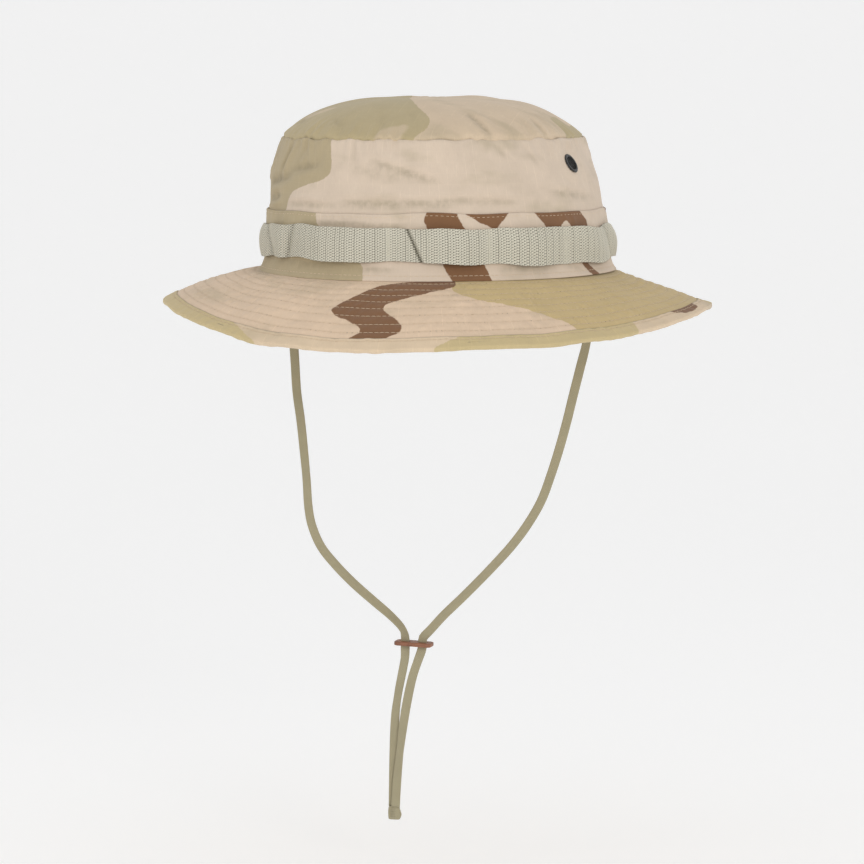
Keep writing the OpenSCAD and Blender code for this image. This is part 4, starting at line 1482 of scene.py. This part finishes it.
def make_anchors(tape, thread):
    """The tape's ends, sewn flat to the sweatband."""
    for side, name in ((-1, "left"), (1, "right")):
        z = np.linspace(0.6, 9.2, 12)
        line = stack(side * (ANCHOR_X - 0.12 * np.sin(z)), 0 * z, z)[::-1]
        mesh = tape_mesh(f"anchor_{name}", line, [(0, 90), (1, 90)])
        add_piece(f"strap_end_sewn_{name}", mesh, tape, HAT, "strap_tape", [f"strap_anchor_{name}"])
        x, y = side * (ANCHOR_X - TAPE_T / 2), np.linspace(-1.8, 1.8, 4)
        bar_tack(f"anchor_stitches_{name}", x, y, np.linspace(2.0, 8.0, 7), (-side, 0, 0), thread, HAT)


def slide_outline(curve, corners, radius, steps=5):
    """A closed straight-sided outline with rounded corners on a flat curve."""
    (x0, y0), (x1, y1) = corners
    points = []
    for cx, cy, a0 in ((x1 - radius, y1 - radius, 0), (x0 + radius, y1 - radius, 90),
                       (x0 + radius, y0 + radius, 180), (x1 - radius, y0 + radius, 270)):
        for k in range(steps + 1):
            a = math.radians(a0 + 90 * k / steps)
            points.append((cx + radius * math.cos(a), cy + radius * math.sin(a)))
    spline = curve.splines.new("POLY")
    spline.points.add(len(points) - 1)
    for p, (x, y) in zip(spline.points, points):
        p.co = (x * MM, y * MM, 0, 1)
    spline.use_cyclic_u = True


def make_slide(hide):
    """A leather tab with two slots, its edges rounded over."""
    low, high = (Vector(c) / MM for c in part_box("leather_slide"))
    middle = (low + high) / 2
    half = (high - low) / 2
    soften = 0.45
    curve = bpy.data.curves.new("slide_outline", "CURVE")
    curve.dimensions, curve.fill_mode = "2D", "BOTH"
    curve.extrude = (half.z * SLIDE_THIN - soften) * MM
    curve.bevel_depth, curve.bevel_resolution = soften * MM, 3
    outer = ((-half.x + soften, -half.y + soften), (half.x - soften, half.y - soften))
    slide_outline(curve, outer, 2.0)
    slot_x, slot_y = 2.75 + soften, 0.75 + soften
    for route in (LEFT_ROUTE, RIGHT_ROUTE):
        x = route[-1][0] - middle.x
        slide_outline(curve, ((x - slot_x, -slot_y), (x + slot_x, slot_y)), 0.6)
    shape = bpy.data.objects.new("slide_shape", curve)
    bpy.context.scene.collection.objects.link(shape)
    bpy.context.view_layer.update()
    mesh = bpy.data.meshes.new_from_object(shape.evaluated_get(bpy.context.evaluated_depsgraph_get()))
    bpy.data.objects.remove(shape)
    mesh.transform(Matrix.Translation(middle * MM) @ Matrix.Rotation(math.radians(SLIDE_TILT), 4, "Y"))
    add_piece("leather_tab", mesh, hide, SLIDE, "slide_leather", ["leather_slide"], smooth=False)


# ---------------------------------------------------------------- the whole hat

place_camera()
strap_tape = tape_cloth("strap_tape", TAPE, TAPE_DARK)
sewing_thread = thread_fibre("sewing_thread", THREAD)
make_strap(strap_tape, thread_fibre("strap_thread", TAPE))
make_anchors(strap_tape, sewing_thread)
make_slide(leather())

crown_cloth = camo_cloth("crown_camouflage")
# The brim, its underside, the top and the binding take the painted-light copies of the tan and khaki.
brim_cloth = camo_cloth("brim_camouflage", BRIM_TAN_AS_LIT, BRIM_KHAKI_AS_LIT, rows=True)
make_side_wall(crown_cloth)
make_top(camo_cloth("top_camouflage", TOP_TAN_AS_LIT, TOP_KHAKI_AS_LIT))
make_strip(crown_cloth)
make_webbing(webbing_cloth())
make_web_tacks(thread_fibre("webbing_thread", WEB_THREAD))
make_brim_upper(brim_cloth)
make_brim_lower(camo_cloth("brim_underside", BRIM_TAN_AS_LIT, BRIM_KHAKI_AS_LIT, rows=True))
make_interlining(tape_cloth("interlining_canvas", CANVAS, CANVAS_DARK, 1.4))
make_binding(camo_cloth("binding_camouflage", BINDING_TAN_AS_LIT, BINDING_KHAKI_AS_LIT))
make_brim_stitching(sewing_thread)
make_crown_stitching(sewing_thread)
make_back_seam_rows(sewing_thread)
make_lining(
    tape_cloth("lining_tape", LINING, LINING_DARK, 1.2),
    tape_cloth("label_cloth", LABEL, LABEL_DARK, 0.6),
    sewing_thread,
)
make_vents(enamel("vent_enamel", 0.35), enamel("gauze_enamel", 0.5))

make_stage()
light_studio()
bpy.context.scene.view_settings.view_transform = "Standard"

bpy.context.view_layer.update()
